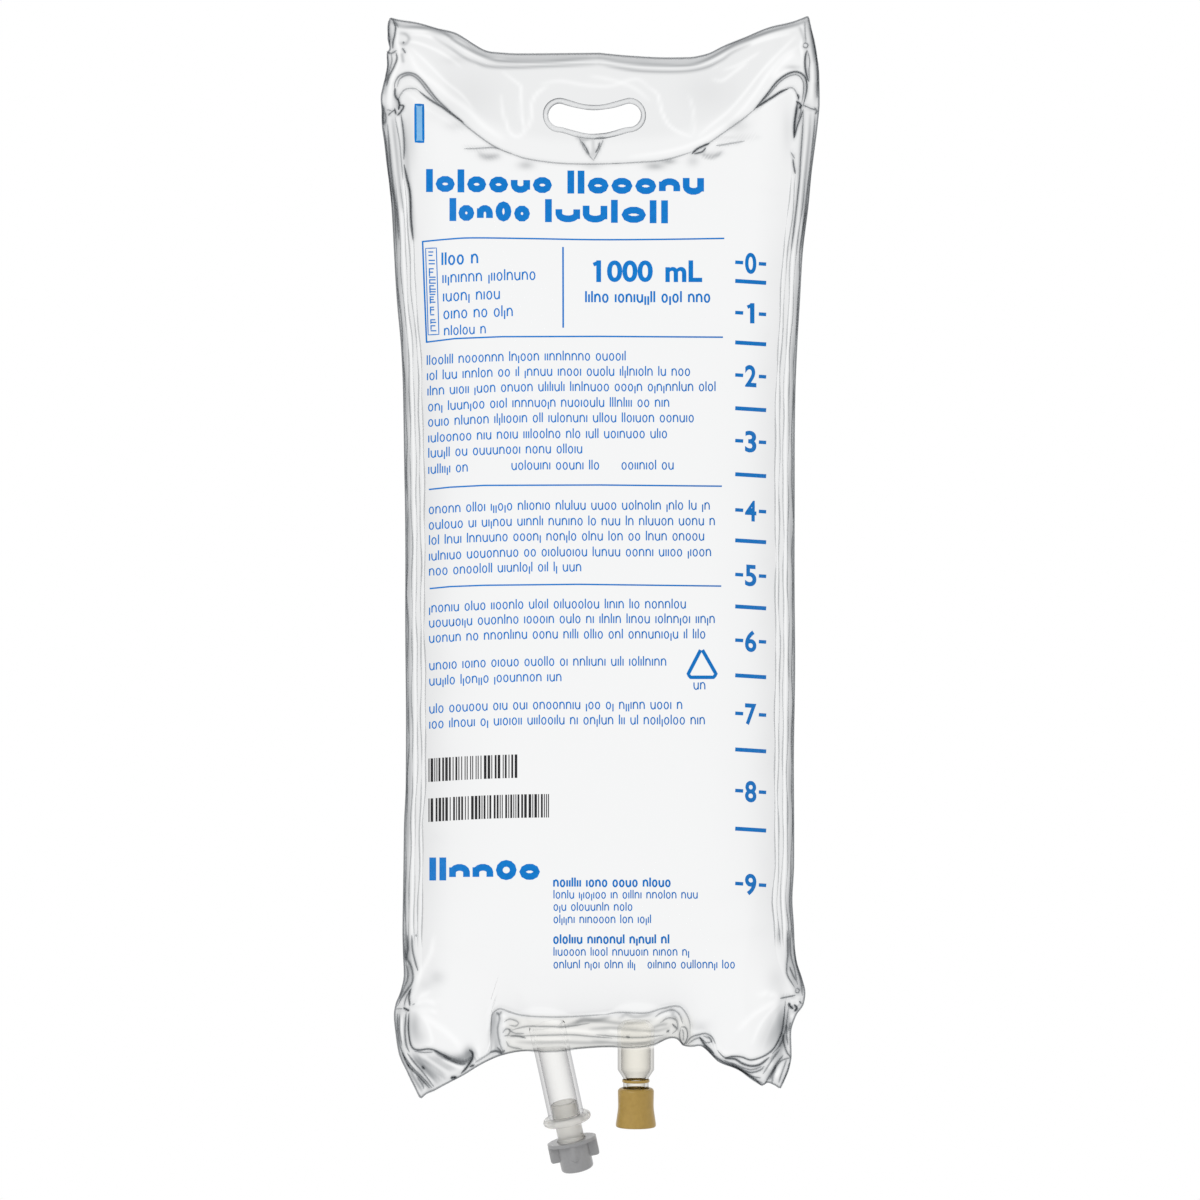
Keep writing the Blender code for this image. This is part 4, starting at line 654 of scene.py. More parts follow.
WELD_FOLDS = (
    (0.9, -0.3, 0.41, 490.8, 1040, 491.2, 1020, 494, 1012, 499.7, 1008.6, 507, 1010.8, 521.7, 1015.2, 543.7,
     1016.8, 566, 1016.8, 605, 1014.5),
    (0.9, -0.3, 0.41, 605, 1014.5, 619.3, 1012.4, 645.7, 1013, 663.3, 1008, 676.6, 1005.8, 684, 1010.2, 689.6,
     1021.6, 690, 1033), (1.3, 0.45, 0.41, 497, 1012, 499.5, 1018, 497.5, 1030, 500, 1044, 503.5, 1052),
    (1.2, -0.35, 0.31, 493.5, 1014, 493, 1030, 495, 1046, 499.5, 1052),
    (1.4, 0.2, 0.41, 496, 1012, 499, 1014.6, 501.6, 1011.4),
    (0.9, 0.45, 0.41, 504, 1022, 510, 1019, 518, 1022, 516, 1026, 509, 1025),
    (0.9, 0.4, 0.44, 502.6, 1033, 506, 1029, 510, 1030.4, 508, 1035, 504, 1036),
    (1.2, 0.2, 0.7, 508.6, 1035, 510, 1036), (1.2, -0.35, 0.6, 510, 1036, 518, 1036, 526, 1038),
    (1, 0.4, 0.41, 506, 1041, 510, 1046.6, 522, 1049), (0.8, 0.3, 0.41, 508, 1028, 514, 1033, 524, 1033.6),
    (1, -0.35, 0.41, 512, 1030, 526, 1026.5, 545, 1026.4, 566, 1026.6, 590, 1023),
    (0.9, -0.3, 0.41, 520, 1036, 545, 1035.2, 572, 1034.8, 592, 1036.5, 612, 1038),
    (1.2, 0.35, 0.26, 517, 1042, 540, 1042.5, 560, 1042, 580, 1042.6, 605, 1043),
    (1.2, 0.4, 0.31, 560, 1028, 580, 1021.5, 600, 1021, 625, 1023.5, 650, 1021),
    (1.1, -0.3, 0.31, 590, 1029, 610, 1028, 630, 1029, 655, 1031, 670, 1027),
    (0.9, 0.3, 0.41, 596, 1034.5, 615, 1036.5, 640, 1037.5, 664, 1035),
    (1.1, -0.25, 0.31, 592, 1041, 620, 1043, 646, 1042.4, 668, 1036),
    (2.2, 0.25, 0.32, 575, 1024, 583, 1019.5, 596, 1020, 610, 1017.6), (1, 0.2, 0.62, 626, 1036.4, 630, 1037.6),
    (1, 0.45, 0.41, 655, 1017, 662, 1012.5, 672, 1010, 679, 1014, 683, 1024),
    (1, 0.45, 0.41, 660, 1023, 668, 1018, 676, 1020, 677.5, 1028, 672, 1034),
    (1.1, -0.3, 0.32, 652, 1028, 660, 1025, 668, 1024), (1.5, 0.2, 0.69, 666.4, 1032.4, 669.4, 1030),
    (1.1, 0.2, 0.65, 672, 1023.6, 677.4, 1029), (1.2, 0.2, 0.31, 671, 1008, 673, 1014, 677, 1020),
    (1.5, 0.3, 0.27, 620, 1019, 626, 1014.5, 636, 1017, 652, 1014),
)
FOLDS = tuple(Fold(tuple(zip(entry[3::2], entry[4::2])), *entry[:3]) for entry in (
    SEAL_SHADOWS + HIGHLIGHTS + GLINTS + TOP_EDGE_FOLDS + CORNER_FOLDS + CAVITY_LINE_FOLDS + CREASE_FOLDS
    + SIDE_FOLDS + LEFT_EAR_FOLDS + RIGHT_EAR_FOLDS + WELD_FOLDS))

PATCHES = tuple(Patch(*entry) for entry in (
    # painted shade in the hollows just under the cavity's upper line
    (526, 165.2, 8, 4.2, -0.35, 0.26), (489, 157, 9, 3.6, -0.3, 0.22), (592, 166.5, 10, 3, -0.2, 0.12),
    (655, 166.2, 10, 3.6, -0.35, 0.34), (669, 161.6, 7, 2.6, -0.2, 0.36), (693, 161, 6, 5.5, -0.3, 0.18),
    (713, 154, 9, 3, 0.3, 0.14), (456, 126, 10, 4.5, -0.2, 0.13), (738, 126, 11, 7, -0.2, 0.14),
    (409, 142, 7, 30, -0.2, 0.14), (440, 112, 16, 10, -0.2, 0.05), (787, 130, 5, 22, 0.2, 0.08),
    # the flat of the top seal
    (470, 96, 30, 26, 0, 0.05), (708, 92, 26, 20, 0, 0.05), (793, 67.4, 7, 2.4, 0, 0.22),
    (455, 60, 12, 4, 0, 0.07),
    # body beside the lower pinches
    (437, 977.5, 8, 6.5, -0.4, 0.14), (426, 985, 7, 5, 0.2, 0.08), (414, 1026, 6, 15, -0.3, 0.28),
    (420, 1037, 7, 8, 0, 0.12), (468, 1053, 5, 6, 0.25, 0.46), (461, 1057, 8, 4, 0, 0.3),
    (781, 1024, 4.5, 22, -0.3, 0.42), (775, 1033, 8, 17, -0.3, 0.28), (767, 1042, 9, 12, 0, 0.12),
    (776, 980, 9, 12, 0, 0.09), (778.5, 936, 2.4, 8, 0, 0.26), (698, 1026, 11, 6, 0.2, 0.12),
    # a clear bulge at both ends of the weld
    (497, 1020, 4, 7, 0.6, 0.08), (676, 1017, 7, 7, 0.6, 0.06),
))

# Lines that run down the side seals as low ridges with painted shade: pixels from the edge, half width, height in
# mm, shade
SEAL_LINES = (
    (1.5, 1.2, 0.20, 0.60),
    (5.6, 0.9, -0.20, 0.46),
    (10.5, 0.8, 0.20, 0.34),
    (14.5, 0.9, -0.20, 0.42),
    (18.5, 0.9, 0.20, 0.36),
)
SEAL_LINE_WANDER = 1.1
SEAL_LINE_STEP = 5.0
SOFT_SEAL_LINE = 0.3
LINE_TOP = 172.0
LINE_FOOT = 950.0
SHEET_PHASE = {FRONT: 0.7, BACK: 2.9}

# The cut edge: a soft painted shade and a band beside it in the film, and a fine line of painted shade on it
EDGE_WIDTH = 1.1
EDGE_HEIGHT = 0.12
EDGE_SHADE = 0.22
EDGE_BAND_AT = 3.0
EDGE_BAND_WIDTH = 2.2
EDGE_BAND_HEIGHT = 0.08
EDGE_LINE_WIDTH = 2.4
EDGE_LINE_STEP = 3.0
EDGE_LINE_SHADE = 0.50

# How dark the liquid and two layers of film are drawn; painted shade of the flanks, the side seals and the slot's
# rim
BODY_SHADE = 0.055
FILM_SHADE = 0.06
FLANK_SHADE = 0.04
SEAL_SHADE = 0.30
RING_SHADE = 1.0
PALE_STRIP = 32.0

# Shadow and highlight along the side seals, in pixels from the edge
SEAL_SHADE_AT = 2.5
SEAL_SHADE_WIDTH = 3.2
SEAL_GLINT_AT = 8.4
SEAL_GLINT_WIDTH = 1.3
SEAL_GLINT_HEIGHT = 0.12
SEAL_GLINT = -0.6

# Puckers beside the side seals, ripples of the weld and waves of the body; heights are in millimetres
PUCKER_COUNT = 13
PUCKER_REACH = 34.0
PUCKER_TOP = 175.0
PUCKER_FOOT = 975.0
PUCKER_SHADE = 0.03
RIPPLE_CENTRE = 590.0
RIPPLE_REACH = 100.0
RIPPLE_PITCH = 7.5
RIPPLE_HEIGHT = 0.16
BODY_WAVE_HEIGHT = 0.22
MILLIMETRE = 0.001


def smooth_path(points, steps=5):
    """More points along a smooth curve through the given ones."""
    given = np.array(points, float)
    if len(given) < 3:
        return given
    padded = np.vstack((2.0 * given[0] - given[1], given, 2.0 * given[-1] - given[-2]))
    t = np.arange(steps)[:, None] / steps
    pieces = []
    for p0, p1, p2, p3 in zip(padded[:-3], padded[1:-2], padded[2:-1], padded[3:]):
        pieces.append(0.5 * (2.0 * p1 + (p2 - p0) * t + (2.0 * p0 - 5.0 * p1 + 4.0 * p2 - p3) * t ** 2
                             + (3.0 * p1 - p0 - 3.0 * p2 + p3) * t ** 3))
    return np.vstack(pieces + [given[-1:]])


def wave(values, pitches, phase):
    """A smooth irregular wave between -1 and 1."""
    total = 0.0
    for index, pitch in enumerate(pitches):
        total = total + np.sin(2.0 * np.pi * values / pitch + phase * (1.7 * index + 1.0) + index)
    return total / len(pitches)


class Relief:
    """Height and shade that build up over the points of one sheet."""

    def __init__(self, shape):
        self.height = np.zeros(shape)
        self.clear = np.ones(shape)

    def add(self, profile, height, shade, where=slice(None)):
        self.height[where] += profile * height * MILLIMETRE
        if shade < 0.0:
            self.clear[where] += (1.0 - self.clear[where]) * clamp(-profile * shade)
        else:
            self.clear[where] *= 1.0 - clamp(profile * shade)

    @property
    def shade(self):
        return 1.0 - self.clear


def add_tint(relief, place):
    """Film in two layers is drawn greyer than the liquid; a pale strip runs along the cavity's upper line."""
    above = (place.z - place.upper) / PIXEL
    below = (place.lower - place.z) / PIXEL
    aside = (1.0 - place.seal) * place.band / PIXEL
    film = np.maximum(np.maximum(ease(above / 5.0), ease(below / 4.0)), 0.7 * ease(place.seal / 0.3))
    pale = ease((PALE_STRIP - above) / (0.5 * PALE_STRIP)) * (above > 0.0)
    relief.add(1.0, 0.0, BODY_SHADE)
    relief.add(film * (1.0 - 0.7 * pale), 0.0, FILM_SHADE)
    # painted shade on the flanks, which turn away at the sides
    relief.add(flank(place) * (place.along > 0.0) * (place.along < 1.0), 0.0, FLANK_SHADE)
    # a painted shadow and a painted highlight along the side seals
    beside = (place.seal > 0.0) * ease((place.along - 0.03) / 0.10) * ease((0.95 - place.along) / 0.05)
    uneven = 0.75 + 0.25 * wave(place.z / PIXEL, (61.0, 143.0), 1.1 + place.side)
    relief.add(bell(aside - SEAL_SHADE_AT, SEAL_SHADE_WIDTH) * uneven * beside, 0.0, SEAL_SHADE)
    relief.add(bell(aside - SEAL_GLINT_AT, SEAL_GLINT_WIDTH) * beside, SEAL_GLINT_HEIGHT, SEAL_GLINT)


def add_folds(relief, u, v):
    for fold in FOLDS:
        path = smooth_path(fold.path)
        width = max(fold.width, MESH_STEP)
        margin = 3.0 * width
        low = path.min(0) - margin
        high = path.max(0) + margin
        near = (u > low[0]) & (u < high[0]) & (v > low[1]) & (v < high[1])
        if not near.any():
            continue
        distance, share = near_path(path, u[near], v[near])
        taper = np.sqrt(clamp(5.0 * share) * clamp(5.0 * (1.0 - share)))
        profile = bell(distance, width) * (0.25 + 0.75 * taper)
        soft = SOFT_UNDER_LINE if fold.shade >= CRISP_SHADE else 1.0
        relief.add(profile, fold.height, soft * fold.shade, near)


def add_patches(relief, u, v):
    for patch in PATCHES:
        distance = ((u - patch.u) / patch.reach_u) ** 2 + ((v - patch.v) / patch.reach_v) ** 2
        relief.add(np.exp(-distance), patch.height, patch.shade)


def seal_line_strength(line, side, v, phase):
    """How strongly a line of the side seal shows at a height."""
    ends = ease((v - LINE_TOP) / 30.0) * ease((LINE_FOOT - v) / 20.0)
    return ends * clamp(0.62 + 0.55 * wave(v, (47.0, 83.0, 149.0), phase + 2.1 * line + 0.8 * side + 1.3))


def seal_line_place(line, side, v, phase):
    """Distance of a line of the side seal from the edge, in pixels."""
    drift = wave(v, (61.0, 103.0, 231.0), phase + 2.1 * line + 0.8 * side)
    return SEAL_LINES[line][0] + SEAL_LINE_WANDER * drift


def add_seal_lines(relief, place, v, phase):
    from_edge = (1.0 - place.seal) * place.band / PIXEL
    for line, (_, width, height, shade) in enumerate(SEAL_LINES):
        off = from_edge - seal_line_place(line, place.side, v, phase)
        profile = bell(off, width) * (place.seal > 0.0)
        strength = seal_line_strength(line, place.side, v, phase)
        relief.add(profile * strength, height, SOFT_SEAL_LINE * shade)


def add_puckers(relief, place, v, phase):
    """Short creases that run in from the side seals over the liquid."""
    dice = np.random.default_rng(int(10 * phase) + 5)
    inner_edge = (outer_width(place.z, place.side) - place.band) / PIXEL
    inward = np.maximum(0.0, inner_edge - np.abs(place.x - CENTRE_X) / PIXEL)
    for side in (LEFT, RIGHT):
        for index in range(PUCKER_COUNT):
            share = (index + dice.uniform(0.15, 0.85)) / PUCKER_COUNT
            level = PUCKER_TOP + (PUCKER_FOOT - PUCKER_TOP) * share
            size = dice.uniform(3.5, 9.0)
            slant = dice.uniform(-0.35, 0.35)
            height = dice.uniform(-0.30, 0.30)
            reach = PUCKER_REACH * dice.uniform(0.4, 1.0)
            away = (v - level - slant * inward) / (size * (0.5 + inward / reach))
            profile = np.exp(-away ** 2) * np.exp(-inward / reach) * ease(inward / 14.0)
            relief.add(profile * (place.side == side), height, PUCKER_SHADE)


def add_edges(relief, place):
    """The cut edge of the film is drawn as a fine grey line of painted shade."""
    side_edge = (1.0 - place.seal) * place.band / PIXEL + 200.0 * (place.seal <= 0.0)
    top = (place.top - place.z) / PIXEL
    foot = (place.z - place.foot) / PIXEL
    for distance, band_shade in ((side_edge, 0.06), (top, 0.20), (foot, 0.06)):
        relief.add(bell(distance, EDGE_WIDTH), EDGE_HEIGHT, EDGE_SHADE)
        relief.add(bell(distance - EDGE_BAND_AT, EDGE_BAND_WIDTH), EDGE_BAND_HEIGHT, band_shade)


def add_weld_ripples(relief, place, u, v, phase):
    """Flow lines along the port weld."""
    in_weld = ease((RIPPLE_REACH - np.abs(u - RIPPLE_CENTRE)) / 10.0) * (place.along >= 1.0)
    drift = 2.5 * wave(u, (57.0, 91.0), phase)
    ripple = np.sin(2.0 * np.pi * (v + drift) / RIPPLE_PITCH)
    relief.add(ripple * in_weld, RIPPLE_HEIGHT, 0.0)


def add_body_waves(relief, place, u, v, phase):
    """Very soft unevenness of the filled body."""
    in_body = ease(place.along / 0.02) * ease((1.0 - place.along) / 0.02) * ease((1.0 - place.share) / 0.06)
    soft = wave(u + 0.35 * v, (83.0, 139.0), phase) * wave(v - 0.2 * u, (97.0, 171.0), phase + 2.0)
    relief.add(soft * in_body, BODY_WAVE_HEIGHT, 0.0)


def surface_relief(place, facing, gap):
    """Height of the folds and shade of the creases of one sheet."""
    y = middle(place) + facing * gap
    u, v = to_photo(place.x, y, place.z)
    relief = Relief(place.x.shape)
    phase = SHEET_PHASE[facing]
    add_tint(relief, place)
    add_folds(relief, u, v)
    add_patches(relief, u, v)
    add_seal_lines(relief, place, v, phase)
    add_puckers(relief, place, v, phase)
    add_edges(relief, place)
    add_weld_ripples(relief, place, u, v, phase)
    add_body_waves(relief, place, u, v, phase)
    return relief


def sheet_depth(place, facing):
    """Depth of one sheet's outer face, and the shade of its creases."""
    gap = plain_gap(place)
    relief = surface_relief(place, facing, gap)
    stand_out = np.maximum(gap + relief.height, 0.5 * HALF_FILM)
    return middle(place) + facing * stand_out, relief.shade


def front_depth(x, z):
    return sheet_depth(locate(x, z), FRONT)[0]


# The bag as one clear solid: both sheets and the liquid between them

def column_table():
    centre = CENTRE_SHARE * np.arange(CENTRE_COLUMNS // 2) / (CENTRE_COLUMNS // 2)
    turn = np.sin(0.5 * np.pi * np.arange(FLANK_COLUMNS) / FLANK_COLUMNS)
    flank = CENTRE_SHARE + (1.0 - CENTRE_SHARE) * turn
    seal_steps = np.arange(SEAL_COLUMNS + 1) / SEAL_COLUMNS
    share = np.concatenate((centre, flank, np.ones(SEAL_COLUMNS + 1)))
    seal = np.concatenate((np.zeros(len(centre) + len(flank)), seal_steps))
    side = np.concatenate((np.full(len(share) - 1, LEFT), np.full(len(share), RIGHT)))
    return side, np.concatenate((share[:0:-1], share)), np.concatenate((seal[:0:-1], seal))


def sheet_points():
    """Front view positions of the grid, rows by columns."""
    side, share, seal = column_table()
    top = np.full(share.shape, world_z(FIRST_TOP))
    foot = np.full(share.shape, world_z(FIRST_FOOT))
    for _ in range(EDGE_PASSES):
        reach = (outer_width(top, side) - band_width(top)) * share + band_width(top) * seal
        top = top_edge(side, reach / outer_width(top, side))
        reach = (outer_width(foot, side) - band_width(foot)) * share + band_width(foot) * seal
        foot = foot_edge(side, reach / outer_width(foot, side))
    upper = cavity_top(side, share)
    lower = cavity_floor(side, share)
    down_top = (np.arange(TOP_ROWS) / TOP_ROWS)[:, None]
    even = np.arange(CAVITY_ROWS) / CAVITY_ROWS
    down_cavity = (0.35 * even + 0.65 * (0.5 - 0.5 * np.cos(np.pi * even)))[:, None]
    down_foot = (np.arange(FOOT_ROWS + 1) / FOOT_ROWS)[:, None]
    z = np.vstack((top + (upper - top) * down_top, upper + (lower - upper) * down_cavity,
                   lower + (foot - lower) * down_foot))
    band = band_width(z)
    x = CENTRE_X + side * ((outer_width(z, side) - band) * share + band * seal)
    return x, z


def rim_of(rows, columns):
    """Grid indices round the edge of a sheet, in order."""
    grid = np.arange(rows * columns).reshape(rows, columns)
    return np.concatenate((grid[0, :-1], grid[:-1, -1], grid[-1, :0:-1], grid[:0:-1, 0]))


def add_values(mesh, name, values):
    """A value of each point that the materials read."""
    layer = mesh.attributes.new(name, "FLOAT", "POINT")
    layer.data.foreach_set("value", np.asarray(values, np.float32))


def bag_mesh():
    x, z = sheet_points()
    rows, columns = x.shape
    place = locate(x, z)
    front_y, front_shade = sheet_depth(place, FRONT)
    back_y, back_shade = sheet_depth(place, BACK)
    count = rows * columns
    rim = rim_of(rows, columns)
    flat_x, flat_z = x.ravel(), z.ravel()
    ahead = np.roll(rim, -1)
    behind = np.roll(rim, 1)
    out = np.stack((flat_z[behind] - flat_z[ahead], flat_x[ahead] - flat_x[behind]), 1)
    out /= np.maximum(np.hypot(out[:, 0], out[:, 1]), 1e-9)[:, None]
    rim_y = 0.5 * (front_y.ravel()[rim] + back_y.ravel()[rim])
    verts = np.zeros((2 * count + len(rim), 3))
    verts[:count] = np.stack((flat_x, front_y.ravel(), flat_z), 1)
    verts[count:2 * count] = np.stack((flat_x, back_y.ravel(), flat_z), 1)
    verts[2 * count:] = np.stack((flat_x[rim] + EDGE_ROUND * out[:, 0], rim_y,
                                  flat_z[rim] + EDGE_ROUND * out[:, 1]), 1)
    grid = np.arange(count).reshape(rows, columns)
    front = np.stack((grid[:-1, :-1], grid[1:, :-1], grid[1:, 1:], grid[:-1, 1:]), -1).reshape(-1, 4)
    back = front[:, ::-1] + count
    edge = 2 * count + np.arange(len(rim))
    next_edge = np.roll(edge, -1)
    round_front = np.stack((rim, ahead, next_edge, edge), 1)
    round_back = np.stack((edge, next_edge, ahead + count, rim + count), 1)
    faces = np.vstack((front, back, round_front, round_back))
    mesh = new_mesh("bag", verts.tolist(), faces.tolist())
    mesh.shade_smooth()
    edge_shade = 0.5 * (front_shade.ravel()[rim] + back_shade.ravel()[rim])
    add_values(mesh, "shade", np.concatenate((front_shade.ravel(), back_shade.ravel(), edge_shade)))
    below_top = ease((WELD_TOP_HEIGHT - verts[:, 2]) / WARM_FADE_DOWN)
    between_ends = ease((WELD_HALF_WIDTH - np.abs(verts[:, 0] - CENTRE_X)) / WARM_FADE_ACROSS)
    add_values(mesh, "warm", below_top * between_ends)
    return mesh


def slot_outline(grow, arc_steps=24, run_steps=40):
    """Points round the hanger slot, offset outward by grow."""
    run = SLOT_HALF_LENGTH - SLOT_RADIUS
    radius = SLOT_RADIUS + grow
    across = np.linspace(run, -run, run_steps + 1)
    sag = -SLOT_RADIUS + SLOT_SAG * (1.0 - clamp(1.0 - (across / run) ** 2) ** SLOT_EVENNESS)
    end_level = -SLOT_RADIUS + SLOT_SAG
    left_turn = np.pi * (0.5 + np.arange(1, arc_steps) / arc_steps)
    right_turn = left_turn + np.pi
    x = np.concatenate((across, -run + radius * np.cos(left_turn), across[::-1],
                        run + radius * np.cos(right_turn)))
    z = np.concatenate((sag + radius, end_level + radius * np.sin(left_turn), sag[::-1] - radius,
                        end_level + radius * np.sin(right_turn)))
    return x, z


def add_piece(name, mesh, material=None, body="bag"):
    piece = bpy.data.objects.new(name, mesh)
    bpy.context.scene.collection.objects.link(piece)
    if material is not None:
        mesh.materials.append(material)
    if body is not None:
        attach(piece, body)
    return piece


def joined(name, base, others, operation="UNION"):
    """Exact boolean of a mesh with other meshes."""
    piece = add_piece(name, base, body=None)
    tools = []
    for other in others:
        tool = add_piece(name + "_tool", other, body=None)
        change = piece.modifiers.new("change", "BOOLEAN")
        change.operation = operation
        change.solver = "EXACT"
        change.object = tool
        tools.append(tool)
    bpy.context.view_layer.update()
    evaluated = piece.evaluated_get(bpy.context.evaluated_depsgraph_get())
    result = bpy.data.meshes.new_from_object(evaluated)
    result.name = name
    for used in [piece] + tools:
        bpy.data.objects.remove(used)
    return result


def new_mesh(name, verts, faces):
    mesh = bpy.data.meshes.new(name)
    mesh.from_pydata(verts, [], faces)
    return mesh


def mesh_of(shape, name):
    """The mesh of an edited shape, which is then let go."""
    mesh = bpy.data.meshes.new(name)
    shape.to_mesh(mesh)
    shape.free()
    return mesh


def slot_cutter(depth=0.02):
    x, z = slot_outline(0.0)
    outline = list(zip(x, z))
    count = len(outline)
    verts = [(a, -depth, b) for a, b in outline] + [(a, depth, b) for a, b in outline]
    faces = [tuple(range(count)), tuple(range(2 * count - 1, count - 1, -1))]
    for index in range(count):
        follow = (index + 1) % count
        faces.append((index, index + count, follow + count, follow))
    return new_mesh("slot_cutter", verts, faces)


def ring_mesh(name, grow, radius, sides=20):
    """A closed tube that follows the slot's outline."""
    x, z = slot_outline(grow)
    ahead_x, ahead_z = np.roll(x, -1) - np.roll(x, 1), np.roll(z, -1) - np.roll(z, 1)
    length = np.hypot(ahead_x, ahead_z)
    out_x, out_z = ahead_z / length, -ahead_x / length
    uneven = radius * (1.0 + 0.12 * wave(np.arange(len(x)), (31.0, 47.0, 13.0), 0.4))
    turn = 2.0 * np.pi * np.arange(sides) / sides
    swell = np.cos(turn)[None, :] * uneven[:, None]
    verts = np.stack((x[:, None] + out_x[:, None] * swell, np.sin(turn)[None, :] * uneven[:, None],
                      z[:, None] + out_z[:, None] * swell), -1).reshape(-1, 3)
    grid = np.arange(len(x) * sides).reshape(len(x), sides)
    after, beside = np.roll(grid, -1, 0), np.roll(grid, -1, 1)
    faces = np.stack((grid, beside, np.roll(after, -1, 1), after), -1).reshape(-1, 4)
    mesh = new_mesh(name, verts.tolist(), faces.tolist())
    mesh.shade_smooth()
    # painted shade: the rim is darker at its inner and outer sides, where its surface turns away
    strength = clamp(0.65 + 0.5 * wave(np.arange(len(x)), (23.0, 37.0, 61.0), 1.9))
    edges = np.abs(np.cos(turn)) ** 3
    add_values(mesh, "shade", (RING_SHADE * strength[:, None] * edges + BODY_SHADE).ravel())
    return mesh


# Materials

def shader_of(material):
    return material.node_tree.nodes["Principled BSDF"]


def new_material(name, **values):
    """A Principled material with plain values set on its own sockets."""
    material = bpy.data.materials.new(name)
    material.use_nodes = True
    for socket, value in values.items():
        shader_of(material).inputs[socket.replace("_", " ")].default_value = value
    return material


def link(material, output, socket):
    material.node_tree.links.new(output, socket)


def add_node(material, kind, **values):
    node = material.node_tree.nodes.new(kind)
    for name, value in values.items():
        setattr(node, name, value)
    return node


def read_values(material, name):
    """The output that gives a value of the mesh."""
    return add_node(material, "ShaderNodeAttribute", attribute_name=name).outputs["Fac"]


def add_noise(material, scale, detail=3.0, roughness=0.5, stretch=(1.0, 1.0, 1.0)):
    """Noise over the object's own coordinates, in features a metre."""
    place = add_node(material, "ShaderNodeTexCoord")
    mapping = add_node(material, "ShaderNodeMapping")
    mapping.inputs["Scale"].default_value = stretch
    noise = add_node(material, "ShaderNodeTexNoise")
    noise.inputs["Scale"].default_value = scale
    noise.inputs["Detail"].default_value = detail
    noise.inputs["Roughness"].default_value = roughness
    link(material, place.outputs["Object"], mapping.inputs["Vector"])
    link(material, mapping.outputs["Vector"], noise.inputs["Vector"])
    return noise.outputs["Fac"]


def add_bump(material, height, distance):
    bump = add_node(material, "ShaderNodeBump")
    bump.inputs["Strength"].default_value = 1.0
    bump.inputs["Distance"].default_value = distance
    link(material, height, bump.inputs["Height"])
    link(material, bump.outputs["Normal"], shader_of(material).inputs["Normal"])


def add_colours(material, source, stops):
    """A colour ramp as the base colour; stops are (position, colour)."""
    ramp = add_node(material, "ShaderNodeValToRGB")
    elements = ramp.color_ramp.elements
    while len(elements) < len(stops):
        elements.new(0.5)
    for element, (position, colour) in zip(elements, stops):
        element.position = position
        element.color = (*colour, 1.0)
    link(material, source, ramp.inputs["Fac"])
    link(material, ramp.outputs["Color"], shader_of(material).inputs["Base Color"])
    return ramp.outputs["Color"]


def mix_colours(material, blend, factor, first, second):
    """A mix of two colours as the base colour; what isn't an output of a node is a plain value."""
    mix = add_node(material, "ShaderNodeMix", data_type="RGBA", blend_type=blend)
    for socket, value in ((0, factor), (6, first), (7, second)):
        if isinstance(value, bpy.types.NodeSocket):
            link(material, value, mix.inputs[socket])
        else:
            mix.inputs[socket].default_value = value if socket == 0 else (*value, 1.0)
    link(material, mix.outputs[2], shader_of(material).inputs["Base Color"])
    return mix.outputs[2]


EDGE_BLUE = 0.97  # the dark edges keep a trace of blue
WELD_TINT = (0.985, 0.975, 0.945)


def darken_edges(material, colour, strength, power):
    """Clear plastic looks darker where its surface turns away."""
    turned = add_node(material, "ShaderNodeLayerWeight")
    turned.inputs["Blend"].default_value = 0.5
    fade = add_node(material, "ShaderNodeMath", operation="POWER")
    fade.inputs[1].default_value = power
    link(material, turned.outputs["Facing"], fade.inputs[0])
    dark = (1.0 - strength, 1.0 - strength, 1.0 - EDGE_BLUE * strength)
    return mix_colours(material, "MULTIPLY", fade.outputs[0], colour, dark)


def film_material():
    """Clear glossy film: the mesh's painted shade darkens its creases and edges, and its weld is warmer."""
    material = new_material("clear_film", Roughness=0.02, IOR=1.022, Transmission_Weight=1.0)
    painted_shade_colour = add_colours(material, read_values(material, "shade"), (
        (0.0, (0.985, 0.988, 0.99)), (0.40, (0.50, 0.51, 0.52)), (0.72, (0.16, 0.17, 0.18)),
        (1.0, (0.035, 0.042, 0.055))))
    edged = darken_edges(material, painted_shade_colour, 0.60, 3.2)
    tint = mix_colours(material, "MIX", read_values(material, "warm"), (1.0, 1.0, 1.0), WELD_TINT)
    mix_colours(material, "MULTIPLY", 1.0, edged, tint)
    return material


def tube_material(name, dark, pale, roughness=0.04, strength=0.70, clear=1.0, ior=1.06,
                  buried=(0.992, 0.992, 0.99)):
    """Clear plastic of the ports; buried is its colour inside the weld, where the mesh has no shade."""
    material = new_material(name, Roughness=roughness, IOR=ior, Transmission_Weight=clear)
    noise = add_noise(material, 120.0, stretch=(1.0, 1.0, 0.25))
    edged = darken_edges(material, add_colours(material, noise, ((0.3, dark), (0.7, pale))), strength, 1.2)
    mix_colours(material, "MIX", read_values(material, "shade"), buried, edged)
    return material


def solid_material(name, dark, pale, roughness, scale=800.0, depth=0.00001, **values):
    """An opaque moulded or printed surface with a fine grain."""
    material = new_material(name, Roughness=roughness, **values)
    noise = add_noise(material, scale, detail=5.0, roughness=0.6)
    add_colours(material, noise, ((0.3, dark), (0.7, pale)))
    add_bump(material, noise, depth)
    return material


# The bag

film = film_material()
bag = add_piece("bag", joined("bag", bag_mesh(), [slot_cutter()], "DIFFERENCE"), film)
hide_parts("front_film", "back_film", "solution")
slot_rim = add_piece("slot_rim", ring_mesh("slot_rim", RING_OFFSET, RING_RADIUS), film)

